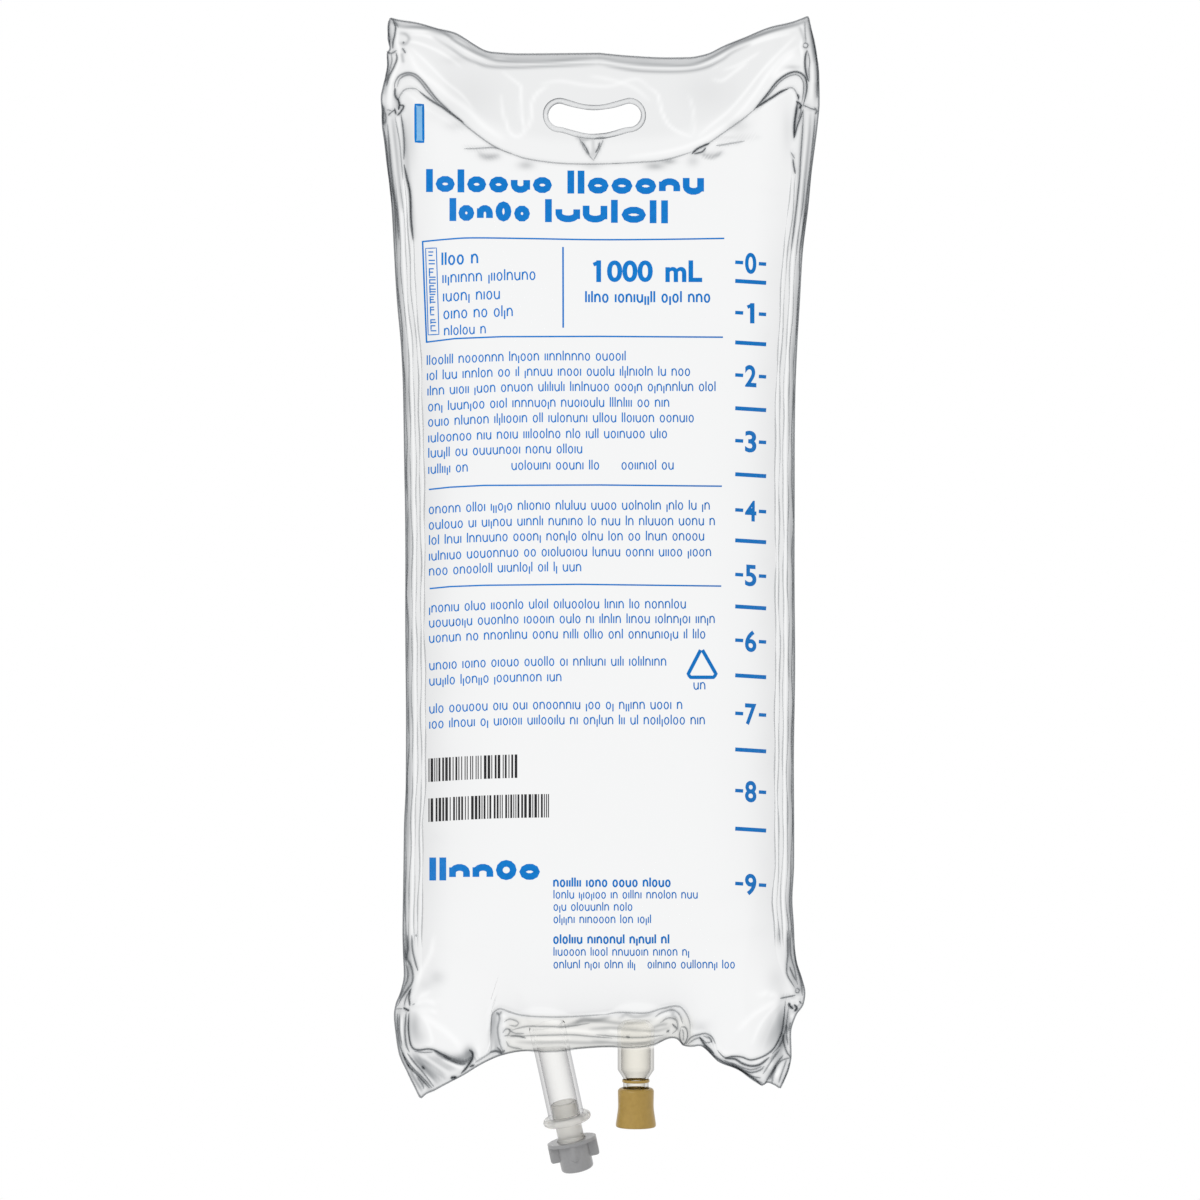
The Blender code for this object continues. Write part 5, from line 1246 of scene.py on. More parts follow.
# Ports: profiles as (radius, height, fillet) round the port's own axis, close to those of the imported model

GAP = 0.0003
SOCKET_GAP = 0.0001
BAND_GAP = 0.00005
STOPPER_GAP = 0.0001
LEDGE = 0.0007
TURN_STEPS = 160
FILLET_STEPS = 7
TURNED_SHARP = math.radians(32.0)
CAP_SHARP = math.radians(30.0)
SET_TUBE_BORE = 0.0041
SET_TUBE_RISE = 0.0076
SET_TUBE_END = -0.0195
SPIGOT_TOP = SET_TUBE_END - GAP + 0.0040
SPIGOT_BORE = 0.0030
FLANGE_TOP = SET_TUBE_END - GAP
FLANGE_FOOT = FLANGE_TOP - 0.0021
FLANGE_RADIUS = 0.0070
NECK_RADIUS = 0.0038
NECK_RIM_RADIUS = 0.0041
NECK_END = FLANGE_FOOT - 0.0072
CAP_SOCKET_DEPTH = 0.0022
CAP_TOP = NECK_END + CAP_SOCKET_DEPTH - GAP
CAP_FOOT = CAP_TOP - 0.0090
CAP_PLUG_RADIUS = 0.00475
CAP_WING_REACH = 0.0072
CAP_WING_THICKNESS = 0.0030
CAP_WING_HEIGHT = 0.0058
CAP_PLATE_DEPTH = 0.0056
CAP_PLATE_THICKNESS = 0.0011
CAP_LOBE_REACH = 0.0059
INJECTION_WALL = 0.0010
INJECTION_TUBE_RISE = 0.0059
INJECTION_DOME_TOP = INJECTION_TUBE_RISE + 0.0016
INJECTION_DOME_RADIUS = 0.0034
INJECTION_BARREL_FOOT = -0.0067
INJECTION_NECK_TOP = INJECTION_BARREL_FOOT - 0.0024
INJECTION_NECK_RADIUS = 0.0037
INJECTION_NECK_END = INJECTION_NECK_TOP - 0.0070
BAND_TOP = INJECTION_NECK_TOP - 0.0004
BAND_WIDTH = 0.0008
BAND_HEIGHT = 0.0002
STOPPER_TOP = INJECTION_NECK_TOP - 0.0029
STOPPER_FOOT = STOPPER_TOP - 0.0113
STOPPER_TOP_RADIUS = 0.00525
STOPPER_WAIST_RADIUS = 0.00512
STOPPER_FOOT_RADIUS = 0.0058


def rounded(corners):
    """A profile through the corners, each fillet an arc."""
    points = []
    for index, (r, z, fillet) in enumerate(corners):
        here = Vector((r, z))
        if fillet <= 0.0:
            points.append(here)
            continue
        before = Vector(corners[index - 1][:2])
        after = Vector(corners[(index + 1) % len(corners)][:2])
        to_before = (before - here).normalized()
        to_after = (after - here).normalized()
        bend = to_before.angle(to_after)
        reach = fillet / math.tan(0.5 * bend)
        centre = here + (to_before + to_after).normalized() * fillet / math.sin(0.5 * bend)
        start = here + to_before * reach - centre
        sweep = start.angle_signed(here + to_after * reach - centre)
        for step in range(FILLET_STEPS + 1):
            points.append(centre + Matrix.Rotation(-sweep * step / FILLET_STEPS, 2) @ start)
    return points


def lathe(name, corners, closed=True):
    """A solid of revolution; an open profile starts and ends on the axis."""
    shape = bmesh.new()
    profile = [shape.verts.new((point.x, 0.0, point.y)) for point in rounded(corners)]
    pairs = list(zip(profile[:-1], profile[1:]))
    if closed:
        pairs.append((profile[-1], profile[0]))
    edges = [shape.edges.new(pair) for pair in pairs]
    bmesh.ops.spin(shape, geom=profile + edges, axis=(0.0, 0.0, 1.0), cent=(0.0, 0.0, 0.0),
                   angle=2.0 * math.pi, steps=TURN_STEPS, use_merge=True)
    bmesh.ops.remove_doubles(shape, verts=shape.verts, dist=0.000002)
    bmesh.ops.recalc_face_normals(shape, faces=shape.faces)
    mesh = mesh_of(shape, name)
    mesh.shade_smooth()
    mesh.set_sharp_from_angle(angle=TURNED_SHARP)
    return mesh


def soft_bar(name, size, centre, turn, fillet):
    """A bar turned about Z with well rounded edges."""
    shape = bmesh.new()
    bmesh.ops.create_cube(shape, size=1.0)
    bmesh.ops.scale(shape, vec=size, verts=shape.verts)
    bmesh.ops.bevel(shape, geom=shape.edges, offset=fillet, segments=5, profile=0.5, affect="EDGES")
    bmesh.ops.rotate(shape, matrix=Matrix.Rotation(turn, 3, "Z"), verts=shape.verts)
    bmesh.ops.translate(shape, vec=centre, verts=shape.verts)
    return mesh_of(shape, name)


def cap_mesh():
    """Round plug with a socket, an oval plate on top, two wings and two smaller lobes."""
    plug = lathe("plug", [(0.0, CAP_TOP, 0.0), (CAP_PLUG_RADIUS, CAP_TOP, 0.0003),
                          (CAP_PLUG_RADIUS, CAP_FOOT, 0.0009), (0.0, CAP_FOOT, 0.0)], closed=False)
    middle_height = CAP_TOP - 0.5 * CAP_WING_HEIGHT
    wings = soft_bar("wings", (2.0 * CAP_WING_REACH, CAP_WING_THICKNESS, CAP_WING_HEIGHT),
                     (0.0, 0.0, middle_height), 0.0, 0.0008)
    side = CAP_LOBE_REACH * math.sqrt(2.0)
    lobes = soft_bar("lobes", (side, side, CAP_WING_HEIGHT - 0.0003), (0.0, 0.0, middle_height),
                     math.radians(45.0), 0.0009)
    plate = lathe("plate", [(0.0, 0.5, 0.0), (1.0, 0.5, 0.14), (1.0, -0.5, 0.14), (0.0, -0.5, 0.0)],
                  closed=False)
    size = Matrix.Diagonal((CAP_WING_REACH, CAP_PLATE_DEPTH, CAP_PLATE_THICKNESS, 1.0))
    plate.transform(Matrix.Translation((0.0, 0.0, CAP_TOP - 0.5 * CAP_PLATE_THICKNESS + 0.0001)) @ size)
    socket_radius = NECK_RIM_RADIUS + SOCKET_GAP
    socket = lathe("socket", [(0.0, CAP_TOP + 0.001, 0.0), (socket_radius, CAP_TOP + 0.001, 0.0),
                              (socket_radius, CAP_TOP - CAP_SOCKET_DEPTH, 0.0),
                              (0.0, CAP_TOP - CAP_SOCKET_DEPTH, 0.0)], closed=False)
    whole = joined("cap", plug, [wings, lobes, plate])
    hollow = joined("cap", whole, [socket], "DIFFERENCE")
    hollow.shade_smooth()
    hollow.set_sharp_from_angle(angle=CAP_SHARP)
    return hollow


SET_PORT = Matrix.Translation((SET_PORT_X, 0.0, SET_PORT_LEVEL)) @ Euler(
    (SET_PORT_LEAN_BACK, -SET_PORT_LEAN_RIGHT, 0.0)).to_matrix().to_4x4()
INJECTION_PORT = Matrix.Translation((INJECTION_PORT_X, 0.0, INJECTION_PORT_LEVEL))
WELD_FOOT_HEIGHT = world_z(1049.0)
TINT_FADE = 0.0007


def add_port_piece(name, mesh, port, material, node, body="bag"):
    """Put a piece on its port; its shade rises from 0 inside the weld to 1 below it."""
    mesh.transform(port)
    shape = bmesh.new()
    shape.from_mesh(mesh)
    for height in (WELD_FOOT_HEIGHT, WELD_FOOT_HEIGHT + TINT_FADE):
        bmesh.ops.bisect_plane(shape, geom=shape.verts[:] + shape.edges[:] + shape.faces[:],
                               plane_co=(0.0, 0.0, height), plane_no=(0.0, 0.0, 1.0))
    shape.to_mesh(mesh)
    shape.free()
    heights = np.array([vert.co.z for vert in mesh.vertices])
    add_values(mesh, "shade", clamp((WELD_FOOT_HEIGHT + TINT_FADE - heights) / TINT_FADE))
    mesh.materials.clear()
    piece = add_piece(name, mesh, material, body)
    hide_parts(node)


clear_tube = tube_material("port_tube", (0.945, 0.943, 0.935), (0.96, 0.957, 0.947))
milky = tube_material("milky_fitting", (0.94, 0.93, 0.90), (0.965, 0.955, 0.93),
                      roughness=0.18, strength=0.25, clear=0.64, ior=1.22)
grey = solid_material("grey_cap", (0.265, 0.265, 0.27), (0.285, 0.285, 0.29), 0.26, 900.0, Coat_Weight=0.4)
amber = tube_material("amber_tube", (0.90, 0.885, 0.84), (0.925, 0.91, 0.865), buried=(0.975, 0.966, 0.94))
tan = solid_material("tan_rubber", (0.36, 0.225, 0.042), (0.41, 0.262, 0.054), 0.36, 700.0)

add_port_piece("set_tube", lathe("set_tube", [
    (SET_TUBE_BORE, SET_TUBE_RISE, 0.0003),
    (SET_TUBE_RADIUS, SET_TUBE_RISE, 0.0004),
    (SET_TUBE_RADIUS, SET_TUBE_END, 0.0002),
    (SET_TUBE_BORE, SET_TUBE_END, 0.0)]), SET_PORT, clear_tube, "set_port_tube")
add_port_piece("fitting", lathe("fitting", [
    (SPIGOT_BORE, SPIGOT_TOP, 0.0),
    (SET_TUBE_BORE - GAP, SPIGOT_TOP, 0.0004),
    (SET_TUBE_BORE - GAP, FLANGE_TOP, 0.0),
    (FLANGE_RADIUS, FLANGE_TOP, 0.0010),
    (FLANGE_RADIUS, FLANGE_FOOT, 0.0010),
    (NECK_RADIUS, FLANGE_FOOT, 0.0006),
    (NECK_RADIUS, CAP_TOP + 0.0012, 0.0003),
    (NECK_RIM_RADIUS, CAP_TOP + 0.0007, 0.0002),
    (NECK_RIM_RADIUS, NECK_END, 0.0),
    (SPIGOT_BORE - LEDGE, NECK_END, 0.0),
    (SPIGOT_BORE - LEDGE, NECK_END + LEDGE, 0.0),
    (SPIGOT_BORE, NECK_END + LEDGE, 0.0)]), SET_PORT, milky, "set_port_fitting")
add_port_piece("twist_cap", cap_mesh(), SET_PORT, grey, "set_port_cap", "cap")
add_port_piece("injection_tube", lathe("injection_tube", [
    (INJECTION_DOME_RADIUS - INJECTION_WALL, INJECTION_DOME_TOP, 0.0002),
    (INJECTION_DOME_RADIUS, INJECTION_DOME_TOP, 0.0006),
    (INJECTION_TUBE_RADIUS, INJECTION_TUBE_RISE, 0.0012),
    (INJECTION_TUBE_RADIUS, INJECTION_BARREL_FOOT, 0.0014),
    (INJECTION_NECK_RADIUS, INJECTION_NECK_TOP, 0.0008),
    (INJECTION_NECK_RADIUS, INJECTION_NECK_END, 0.0),
    (INJECTION_NECK_RADIUS - INJECTION_WALL, INJECTION_NECK_END, 0.0),
    (INJECTION_NECK_RADIUS - INJECTION_WALL, INJECTION_NECK_TOP, 0.0004),
    (INJECTION_TUBE_RADIUS - INJECTION_WALL, INJECTION_BARREL_FOOT, 0.0006),
    (INJECTION_TUBE_RADIUS - INJECTION_WALL, INJECTION_TUBE_RISE - INJECTION_WALL, 0.0006)]),
    INJECTION_PORT, amber, "injection_port_tube")
band_bore = INJECTION_NECK_RADIUS + BAND_GAP
add_port_piece("neck_band", lathe("neck_band", [
    (band_bore, BAND_TOP, 0.0),
    (band_bore + BAND_HEIGHT, BAND_TOP, 0.00015),
    (band_bore + BAND_HEIGHT, BAND_TOP - BAND_WIDTH, 0.00015),
    (band_bore, BAND_TOP - BAND_WIDTH, 0.0)]), INJECTION_PORT, tan, "injection_port_band")
stopper_bore = INJECTION_NECK_RADIUS + STOPPER_GAP
add_port_piece("stopper", lathe("stopper", [
    (0.0, INJECTION_NECK_END - STOPPER_GAP, 0.0),
    (stopper_bore, INJECTION_NECK_END - STOPPER_GAP, 0.0),
    (stopper_bore, STOPPER_TOP, 0.0004),
    (STOPPER_TOP_RADIUS, STOPPER_TOP, 0.0010),
    (STOPPER_WAIST_RADIUS, STOPPER_FOOT + 0.0056, 0.0160),
    (STOPPER_FOOT_RADIUS, STOPPER_FOOT + 0.0010, 0.0009),
    (STOPPER_FOOT_RADIUS, STOPPER_FOOT, 0.0005),
    (0.0, STOPPER_FOOT, 0.0)], closed=False), INJECTION_PORT, tan, "injection_port_stopper")

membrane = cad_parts["set_port_membrane"]
membrane.data.materials.clear()
membrane.data.materials.append(solid_material("membrane", (0.74, 0.73, 0.70), (0.80, 0.79, 0.76), 0.30, 500.0))


# Print: flat shapes in photo pixels, laid on the front of the bag

INK_PROUD = 0.00014
INK_DEPTH = 0.00006
INK_STEP = 4.0
INK_SPECULAR = 0.12
# Fine dark lines of painted shade along sharp folds, the side seals and the cut edge, laid like the print
CREASE_WIDTH = 2.3
SEAL_LINE_WIDER = 2.4
CREASE_STEP = 2.0
CREASE_LIGHTER = 0.02

Row = namedtuple("Row", "left right base height width")

PARAGRAPH = (9.6, 1.25)
ROWS = tuple(Row(left, right, base, *PARAGRAPH) for left, right, base in (
    (427.3, 631, 360.4), (427.5, 690, 375.7), (428, 720, 391.0), (428.6, 675, 406.8), (428.6, 694, 422.1),
    (428.8, 668, 438.0), (428.8, 588, 453.2), (428.8, 472, 469.4), (512, 602, 469.4), (622, 679, 469.4),
    (429.3, 712, 509.6), (429.3, 719, 525.2), (429.5, 704, 540.4), (429.5, 718, 556.2), (429.6, 584, 571.3),
    (429.6, 692, 608.3), (429.6, 720, 623.1), (429.6, 714, 638.4), (429.8, 669, 665.7), (429.8, 562, 681.2),
    (429.8, 682, 709.0), (429.8, 706, 724.3), (694, 710, 689.4))) + (
    Row(442.4, 481, 261.5, 12.4, 1.9), Row(443, 541, 279.6, 11.0, 1.4), Row(443.6, 500, 298.0, 11.0, 1.4),
    Row(444, 519, 315.6, 11.0, 1.4), Row(444.6, 490, 332.0, 9.8, 1.3), Row(586, 712, 302.2, 11.0, 1.9),
    Row(554, 676, 886.6, 9.0, 1.8), Row(554, 700, 898.4, 8.4, 1.15), Row(554, 637, 910.6, 8.4, 1.15),
    Row(554, 655, 923.0, 8.4, 1.15), Row(554, 678, 943.4, 9.0, 1.8), Row(554, 694, 955.6, 8.4, 1.15),
    Row(554, 639, 968.2, 8.4, 1.15), Row(648, 738, 968.2, 8.4, 1.15))
TITLE_GROUPS = (  # left, right, base at left, base at right, number of shapes
    (426, 552, 192.0, 193.4, 7), (567, 704, 193.5, 195.0, 7),
    (450, 530, 221.0, 221.9, 5), (544, 669, 222.1, 223.4, 7))
TITLE_HEIGHT = 23.0
TITLE_STROKE = 6.8
EMBLEM_GROUP = (429, 540, 880.5, 880.0, 6)
RULES = (  # path and width
    (((724.3, 238.4), (660, 239.4), (594, 239.7), (530, 238.6), (472.7, 237.9), (448, 239.2), (422.6, 241.6)),
     1.5),
    (((422.6, 240.9), (424.4, 290), (426.6, 342.8)), 1.6),
    (((426.2, 342.2), (455, 338.6), (501.8, 336.7), (600, 336.4), (723, 337.2)), 1.5),
    (((563, 247), (563.2, 327.7)), 1.7),
    (((428.8, 489.5), (450, 487.2), (484, 485.4), (600, 485.0), (721.9, 486.2)), 1.5),
    (((429.6, 588.6), (450, 586.6), (484, 585.3), (578.5, 584.3), (721.3, 586.1)), 1.5),
    (((425.6, 248.4), (436.4, 248.0), (438.9, 334.4), (428.2, 334.9), (425.6, 248.4)), 1.0),
    (((702.4, 650), (716, 674), (713.6, 677.3), (690.5, 677.3), (688.2, 674), (700.6, 650)), 3.6))
INDEX_BAR = ((415.4, 104.6), (423.2, 105.0), (423.4, 142.0), (415.6, 141.6))
INDEX_FILL = ((419.3, 105.6), (419.5, 141.0))
INDEX_STROKE = 2.3
INDEX_FILL_WIDTH = 5.8
SCALE_LEFT = 735.2
SCALE_RIGHT = 766.2
SCALE_SLOPE = 2.0 / (SCALE_RIGHT - SCALE_LEFT)
SCALE_DIGITS = (  # top and bottom of each numeral
    (252.4, 273.6), (303.2, 323.4), (364.7, 386.7), (430.5, 452.2), (500.2, 521.0), (564.4, 586.0), (630.0, 651.7),
    (703.2, 724.8), (780.5, 802.0), (873.4, 895.0))
SCALE_TICKS = (281.9, 343.4, 409.2, 475.2, 541.3, 607.4, 676.3, 750.4, 829.6)
TICK_WIDTH = 4.0
TICK_RISE = 1.0
DIGIT_HALF_WIDTH = 5.7
DIGIT_STROKE = 4.4
DIGIT_WEIGHT = 0.026
LEFT_DASH = 8.0
RIGHT_DASH = 7.4
DASH_WIDTH = 3.5
DASH_LIFT = 0.8

# The volume: its numeral 1 is drawn, the rest is from the built-in font
VOLUME_TOP = 260.4
VOLUME_FOOT = 282.1
VOLUME_ONE = 597.0
VOLUME_STROKE = 4.8
VOLUME_PARTS = (("000", 607.0, 652.8), ("mL", 665.4, 702.2))
VOLUME_WEIGHT = 0.03

# The narrow upright code at the left of the box leans with the box's side
BOX_TOP = 248.0
CODE_TOP = 252.0
CODE_FOOT = 331.0
CODE_LEFT = 428.2
CODE_LEAN = 0.029
CODE_WIDTH = 1.2

LETTER_GAP = 2.6
BAR_ROWS = ((428.5, 516.0, 754.0, 777.5), (428.5, 548.5, 794.0, 817.5))


def resample(path, step):
    """Points along a straight-sided path no farther apart than step."""
    given = np.array(path, float)
    points = [given[:1]]
    for start, end in zip(given[:-1], given[1:]):
        count = max(1, math.ceil(float(np.hypot(*(end - start))) / step))
        points.append(start + (end - start) * (np.arange(1, count + 1) / count)[:, None])
    return np.vstack(points)


class Ink:
    """Flat shapes in photo pixels."""

    def __init__(self):
        self.points = []
        self.faces = []
        self.shades = []

    def ribbon(self, path, width, shade=0.0, step=INK_STEP):
        """A band along the path; width may be a function of the share of its length.

        A band with a shade is darkest along its middle and runs out clear at both sides.
        """
        line = resample(path, step)
        loop = np.hypot(*(line[0] - line[-1])) < 0.01
        if loop:
            line = line[:-1]
            run = np.roll(line, -1, 0) - np.roll(line, 1, 0)
        else:
            run = np.vstack((line[1:], line[-1:])) - np.vstack((line[:1], line[:-1]))
        run /= np.hypot(run[:, 0], run[:, 1])[:, None]
        first = len(self.points)
        count = len(line)
        share = np.linspace(0.0, 1.0, count)
        wide = width(share) if callable(width) else np.full(count, width)
        across = wide[:, None] * np.stack((-run[:, 1], run[:, 0]), 1)
        rows = ((0.5, 0.0), (0.0, shade), (-0.5, 0.0)) if shade > 0.0 else ((0.5, 0.0), (-0.5, 0.0))
        for offset, row_shade in rows:
            self.points.extend((line + offset * across).tolist())
            self.shades.extend([row_shade] * count)
        for start in range(first, first + (len(rows) - 1) * count, count):
            for index in range(count if loop else count - 1):
                follow = (index + 1) % count
                self.faces.append((start + index, start + follow, start + count + follow, start + count + index))

    def one(self, centre, top, foot, width):
        """The numeral 1 as a stem and a flag."""
        self.ribbon(((centre + 0.35 * width, top), (centre + 0.35 * width, foot)), width)
        flag = top + 0.9 * width
        self.ribbon(((centre - 0.75 * width, flag), (centre + 0.3 * width, flag - 0.45 * width)), 0.8 * width)

    def glyph(self, text, left, right, top, foot, weight, slope=0.0):
        """A plain numeral or unit from the built-in font, fitted to a box."""
        curve = bpy.data.curves.new("glyph", "FONT")
        curve.body = text
        curve.offset = weight
        curve.resolution_u = 5
        writer = bpy.data.objects.new("glyph", curve)
        mesh = bpy.data.meshes.new_from_object(writer)
        flat = bmesh.new()
        flat.from_mesh(mesh)
        bpy.data.objects.remove(writer)
        xs = [vert.co.x for vert in flat.verts]
        ys = [vert.co.y for vert in flat.verts]
        low_x, low_y = min(xs), min(ys)
        wide, high = max(xs) - low_x, max(ys) - low_y
        for vert in flat.verts:
            share = (vert.co.x - low_x) / wide
            u = left + (right - left) * share
            v = foot - (foot - top) * (vert.co.y - low_y) / high + slope * (u - left)
            vert.co = (u, v, 0.0)
        for axis, start, end in ((0, left, right), (1, top, foot)):
            for level in np.arange(start + INK_STEP, end, INK_STEP):
                middle_point = Vector((0.0, 0.0, 0.0))
                middle_point[axis] = float(level)
                normal = Vector((0.0, 0.0, 0.0))
                normal[axis] = 1.0
                bmesh.ops.bisect_plane(flat, geom=flat.verts[:] + flat.edges[:] + flat.faces[:],
                                       plane_co=middle_point, plane_no=normal, dist=0.001)
        flat.verts.index_update()
        first = len(self.points)
        self.points.extend((vert.co.x, vert.co.y) for vert in flat.verts)
        self.shades.extend([0.0] * len(flat.verts))
        self.faces.extend(tuple(first + vert.index for vert in face.verts) for face in flat.faces)
        flat.free()
        bpy.data.meshes.remove(mesh)

    def piece(self, name, material, proud=INK_PROUD):
        """Closed thin solids of all shapes, sunk a little into the front of the bag."""
        flat = np.array(self.points)
        y = np.full(len(flat), -0.5 * CAVITY_DEPTH)
        for _ in range(6):
            x, z = from_photo(flat[:, 0], flat[:, 1], y)
            y = front_depth(x, z)
        count = len(flat)
        outer = np.stack((x, y - proud, z), 1)
        inner = np.stack((x, y + INK_DEPTH, z), 1)
        edges = set()
        for face in self.faces:
            edges.update(zip(face, face[1:] + face[:1]))
        sides = [(b, a, a + count, b + count) for a, b in edges if (b, a) not in edges]
        backs = [tuple(index + count for index in reversed(face)) for face in self.faces]
        mesh = new_mesh(name, np.vstack((outer, inner)).tolist(), self.faces + backs + sides)
        shape = bmesh.new()
        shape.from_mesh(mesh)
        bmesh.ops.recalc_face_normals(shape, faces=shape.faces)
        shape.to_mesh(mesh)
        shape.free()
        add_values(mesh, "shade", self.shades + self.shades)
        add_piece(name, mesh, material)


def tapered(width):
    """Ribbon width that runs out to a point at both ends."""
    return lambda share: width * np.sqrt(clamp(6.0 * share + 0.02) * clamp(6.0 * (1.0 - share) + 0.02))


def on_front(x, z):
    """Photo pixels of points of the front sheet."""
    u, v = to_photo(x, front_depth(x, z), z)
    return np.stack((u, v), 1)


def outline_path():
    """The film's cut edge, from the front."""
    x, z = sheet_points()
    rim = rim_of(*x.shape)
    x, z = x.ravel()[rim], z.ravel()[rim]
    passed = np.concatenate(([0.0], np.cumsum(np.hypot(np.diff(x), np.diff(z)))))
    even = np.arange(0.0, passed[-1], EDGE_LINE_STEP * PIXEL)
    return on_front(np.interp(even, passed, x), np.interp(even, passed, z))


def add_creases():
    """Fine dark lines of painted shade: sharp folds, the lines of the side seals and the cut edge."""
    lines = Ink()
    for fold in FOLDS:
        if fold.shade >= CRISP_SHADE:
            width = tapered(CREASE_WIDTH * fold.width)
            lines.ribbon(smooth_path(fold.path), width, fold.shade - CREASE_LIGHTER, CREASE_STEP)
    v = np.arange(LINE_TOP, LINE_FOOT, SEAL_LINE_STEP)
    z = world_z(v)
    for side in (LEFT, RIGHT):
        for line, (_, width, _, shade) in enumerate(SEAL_LINES):
            place = seal_line_place(line, side, v, SHEET_PHASE[FRONT])
            path = on_front(CENTRE_X + side * (outer_width(z, side) - place * PIXEL), z)
            strength = seal_line_strength(line, side, v, SHEET_PHASE[FRONT])
            along = np.linspace(0.0, 1.0, len(v))
            lines.ribbon(path, lambda share: SEAL_LINE_WIDER * width * np.interp(share, along, strength), shade,
                         SEAL_LINE_STEP)
    lines.ribbon(outline_path(), EDGE_LINE_WIDTH, EDGE_LINE_SHADE, SEAL_LINE_STEP)
    lines.piece("creases", film, 2.0 * INK_PROUD)


def arc(centre_x, centre_y, radius_x, radius_y, start, end, steps=7):
    angles = np.radians(np.linspace(start, end, steps + 1))
    return [(centre_x + radius_x * math.cos(a), centre_y + radius_y * math.sin(a)) for a in angles]


# Simple shapes that stand for print: paths in a cell 1 wide, with 1 for the height of the low shapes
TALL = 1.4
SHAPES = (
    (((0.5, 0.0), (0.5, 1.0)),),
    (tuple(arc(0.5, 0.5, 0.5, 0.5, 0.0, 360.0, 10)),),
    (((0.0, 0.0), (0.0, 1.0)), tuple(arc(0.5, 0.5, 0.5, 0.5, 180.0, 0.0)) + ((1.0, 0.0),)),
    (((1.0, 1.0), (1.0, 0.0)), tuple(arc(0.5, 0.5, 0.5, 0.5, 0.0, -180.0)) + ((0.0, 1.0),)),
    (((0.5, 0.0), (0.5, TALL)),),
    (((0.5, -0.35), (0.5, 0.75)),),
    (tuple(arc(0.5, 0.5 * TALL, 0.5, 0.5 * TALL, 0.0, 360.0, 12)),),
    (((1.0, TALL), (1.0, 0.0)), tuple(arc(0.5, 0.5, 0.5, 0.5, 0.0, -180.0)) + ((0.0, TALL),)),
)
NARROW_SHAPES = (0, 4, 5)
PAGE_LEFT = 427.0
PAGE_FLAT = 553.0
PAGE_DIP = 4.6


def page_dip(u):
    """The left ends of the rows bend down round the flank of the bag."""
    return PAGE_DIP * clamp((PAGE_FLAT - u) / (PAGE_FLAT - PAGE_LEFT)) ** 2


def small_rows(ink, dice):
    for row in ROWS:
        low = 0.72 * row.height
        cell = 0.44 * row.height
        gap = 0.17 * row.height + 0.6 * row.width
        u = row.left
        until_space = int(dice.integers(3, 9))
        while u < row.right - cell:
            kind = int(dice.choice(6, p=(0.16, 0.27, 0.20, 0.14, 0.17, 0.06)))
            wide = 0.0 if kind in NARROW_SHAPES else cell
            for path in SHAPES[kind]:
                placed = [(u + wide * x, row.base - low * y + page_dip(u + wide * x)) for x, y in path]
                ink.ribbon(placed, row.width)
            u += wide + gap
            until_space -= 1
            if until_space == 0:
                u += 0.45 * row.height
                until_space = int(dice.integers(2, 10))


def big_groups(ink, dice):
    for left, right, base_left, base_right, count in TITLE_GROUPS + (EMBLEM_GROUP,):
        kinds = [4] + [int(kind) for kind in dice.choice((1, 2, 3, 1, 6, 7, 4), count - 1)]
        half = 0.5 * TITLE_STROKE
        widths = [0.36 if kind in NARROW_SHAPES else 1.0 for kind in kinds]
        unit = (right - left - LETTER_GAP * (count - 1)) / sum(widths)
        u = left
        for kind, width in zip(kinds, widths):
            cell = unit * width
            low = TITLE_HEIGHT / TALL
            for path in SHAPES[kind]:
                placed = []
                for x, y in path:
                    here = u + half + (cell - TITLE_STROKE) * x
                    slope = base_left + (base_right - base_left) * (here - left) / (right - left)
                    inset = half if kind not in NARROW_SHAPES else 0.0
                    placed.append((here, slope - inset - (low - 2.0 * inset) * y))
                ink.ribbon(placed, TITLE_STROKE)
            u += cell + LETTER_GAP


def scale_marks(ink):
    middle_u = 0.5 * (SCALE_LEFT + SCALE_RIGHT)
    for number, (top, foot) in enumerate(SCALE_DIGITS):
        if number == 1:
            ink.one(middle_u, top, foot, DIGIT_STROKE)
        else:
            ink.glyph(str(number), middle_u - DIGIT_HALF_WIDTH, middle_u + DIGIT_HALF_WIDTH, top, foot,
                      DIGIT_WEIGHT, SCALE_SLOPE)
        level = 0.5 * (top + foot) - DASH_LIFT
        for ends in ((SCALE_LEFT, SCALE_LEFT + LEFT_DASH), (SCALE_RIGHT - RIGHT_DASH, SCALE_RIGHT)):
            ink.ribbon([(u, level + SCALE_SLOPE * (u - SCALE_LEFT)) for u in ends], DASH_WIDTH)
    for level in SCALE_TICKS:
        ink.ribbon(((SCALE_LEFT, level - TICK_RISE), (SCALE_RIGHT, level + TICK_RISE)), TICK_WIDTH)


def bar_rows(ink, dice):
    for left, right, top, foot in BAR_ROWS:
        u = left
        while u < right:
            width = float(dice.choice((1.0, 1.0, 1.9, 2.6)))
            middle_u = min(u + 0.5 * width, right)
            ink.ribbon(((middle_u, top + page_dip(u)), (middle_u, foot + page_dip(u))), width)
            u += width + float(dice.choice((1.1, 1.1, 1.8, 2.4)))


def side_code(ink, dice):
    """A narrow upright strip of short marks at the left of the box."""
    v = CODE_TOP
    while v < CODE_FOOT:
        left = CODE_LEFT + (v - BOX_TOP) * CODE_LEAN
        reach = float(dice.uniform(4.0, 6.6))
        ink.ribbon(((left, v), (left + reach, v)), CODE_WIDTH)
        if dice.random() < 0.55:
            upright = left + 0.5 * CODE_WIDTH
            ink.ribbon(((upright, v), (upright, v + 4.0)), CODE_WIDTH)
        v += float(dice.choice((2.6, 3.4, 5.0)))


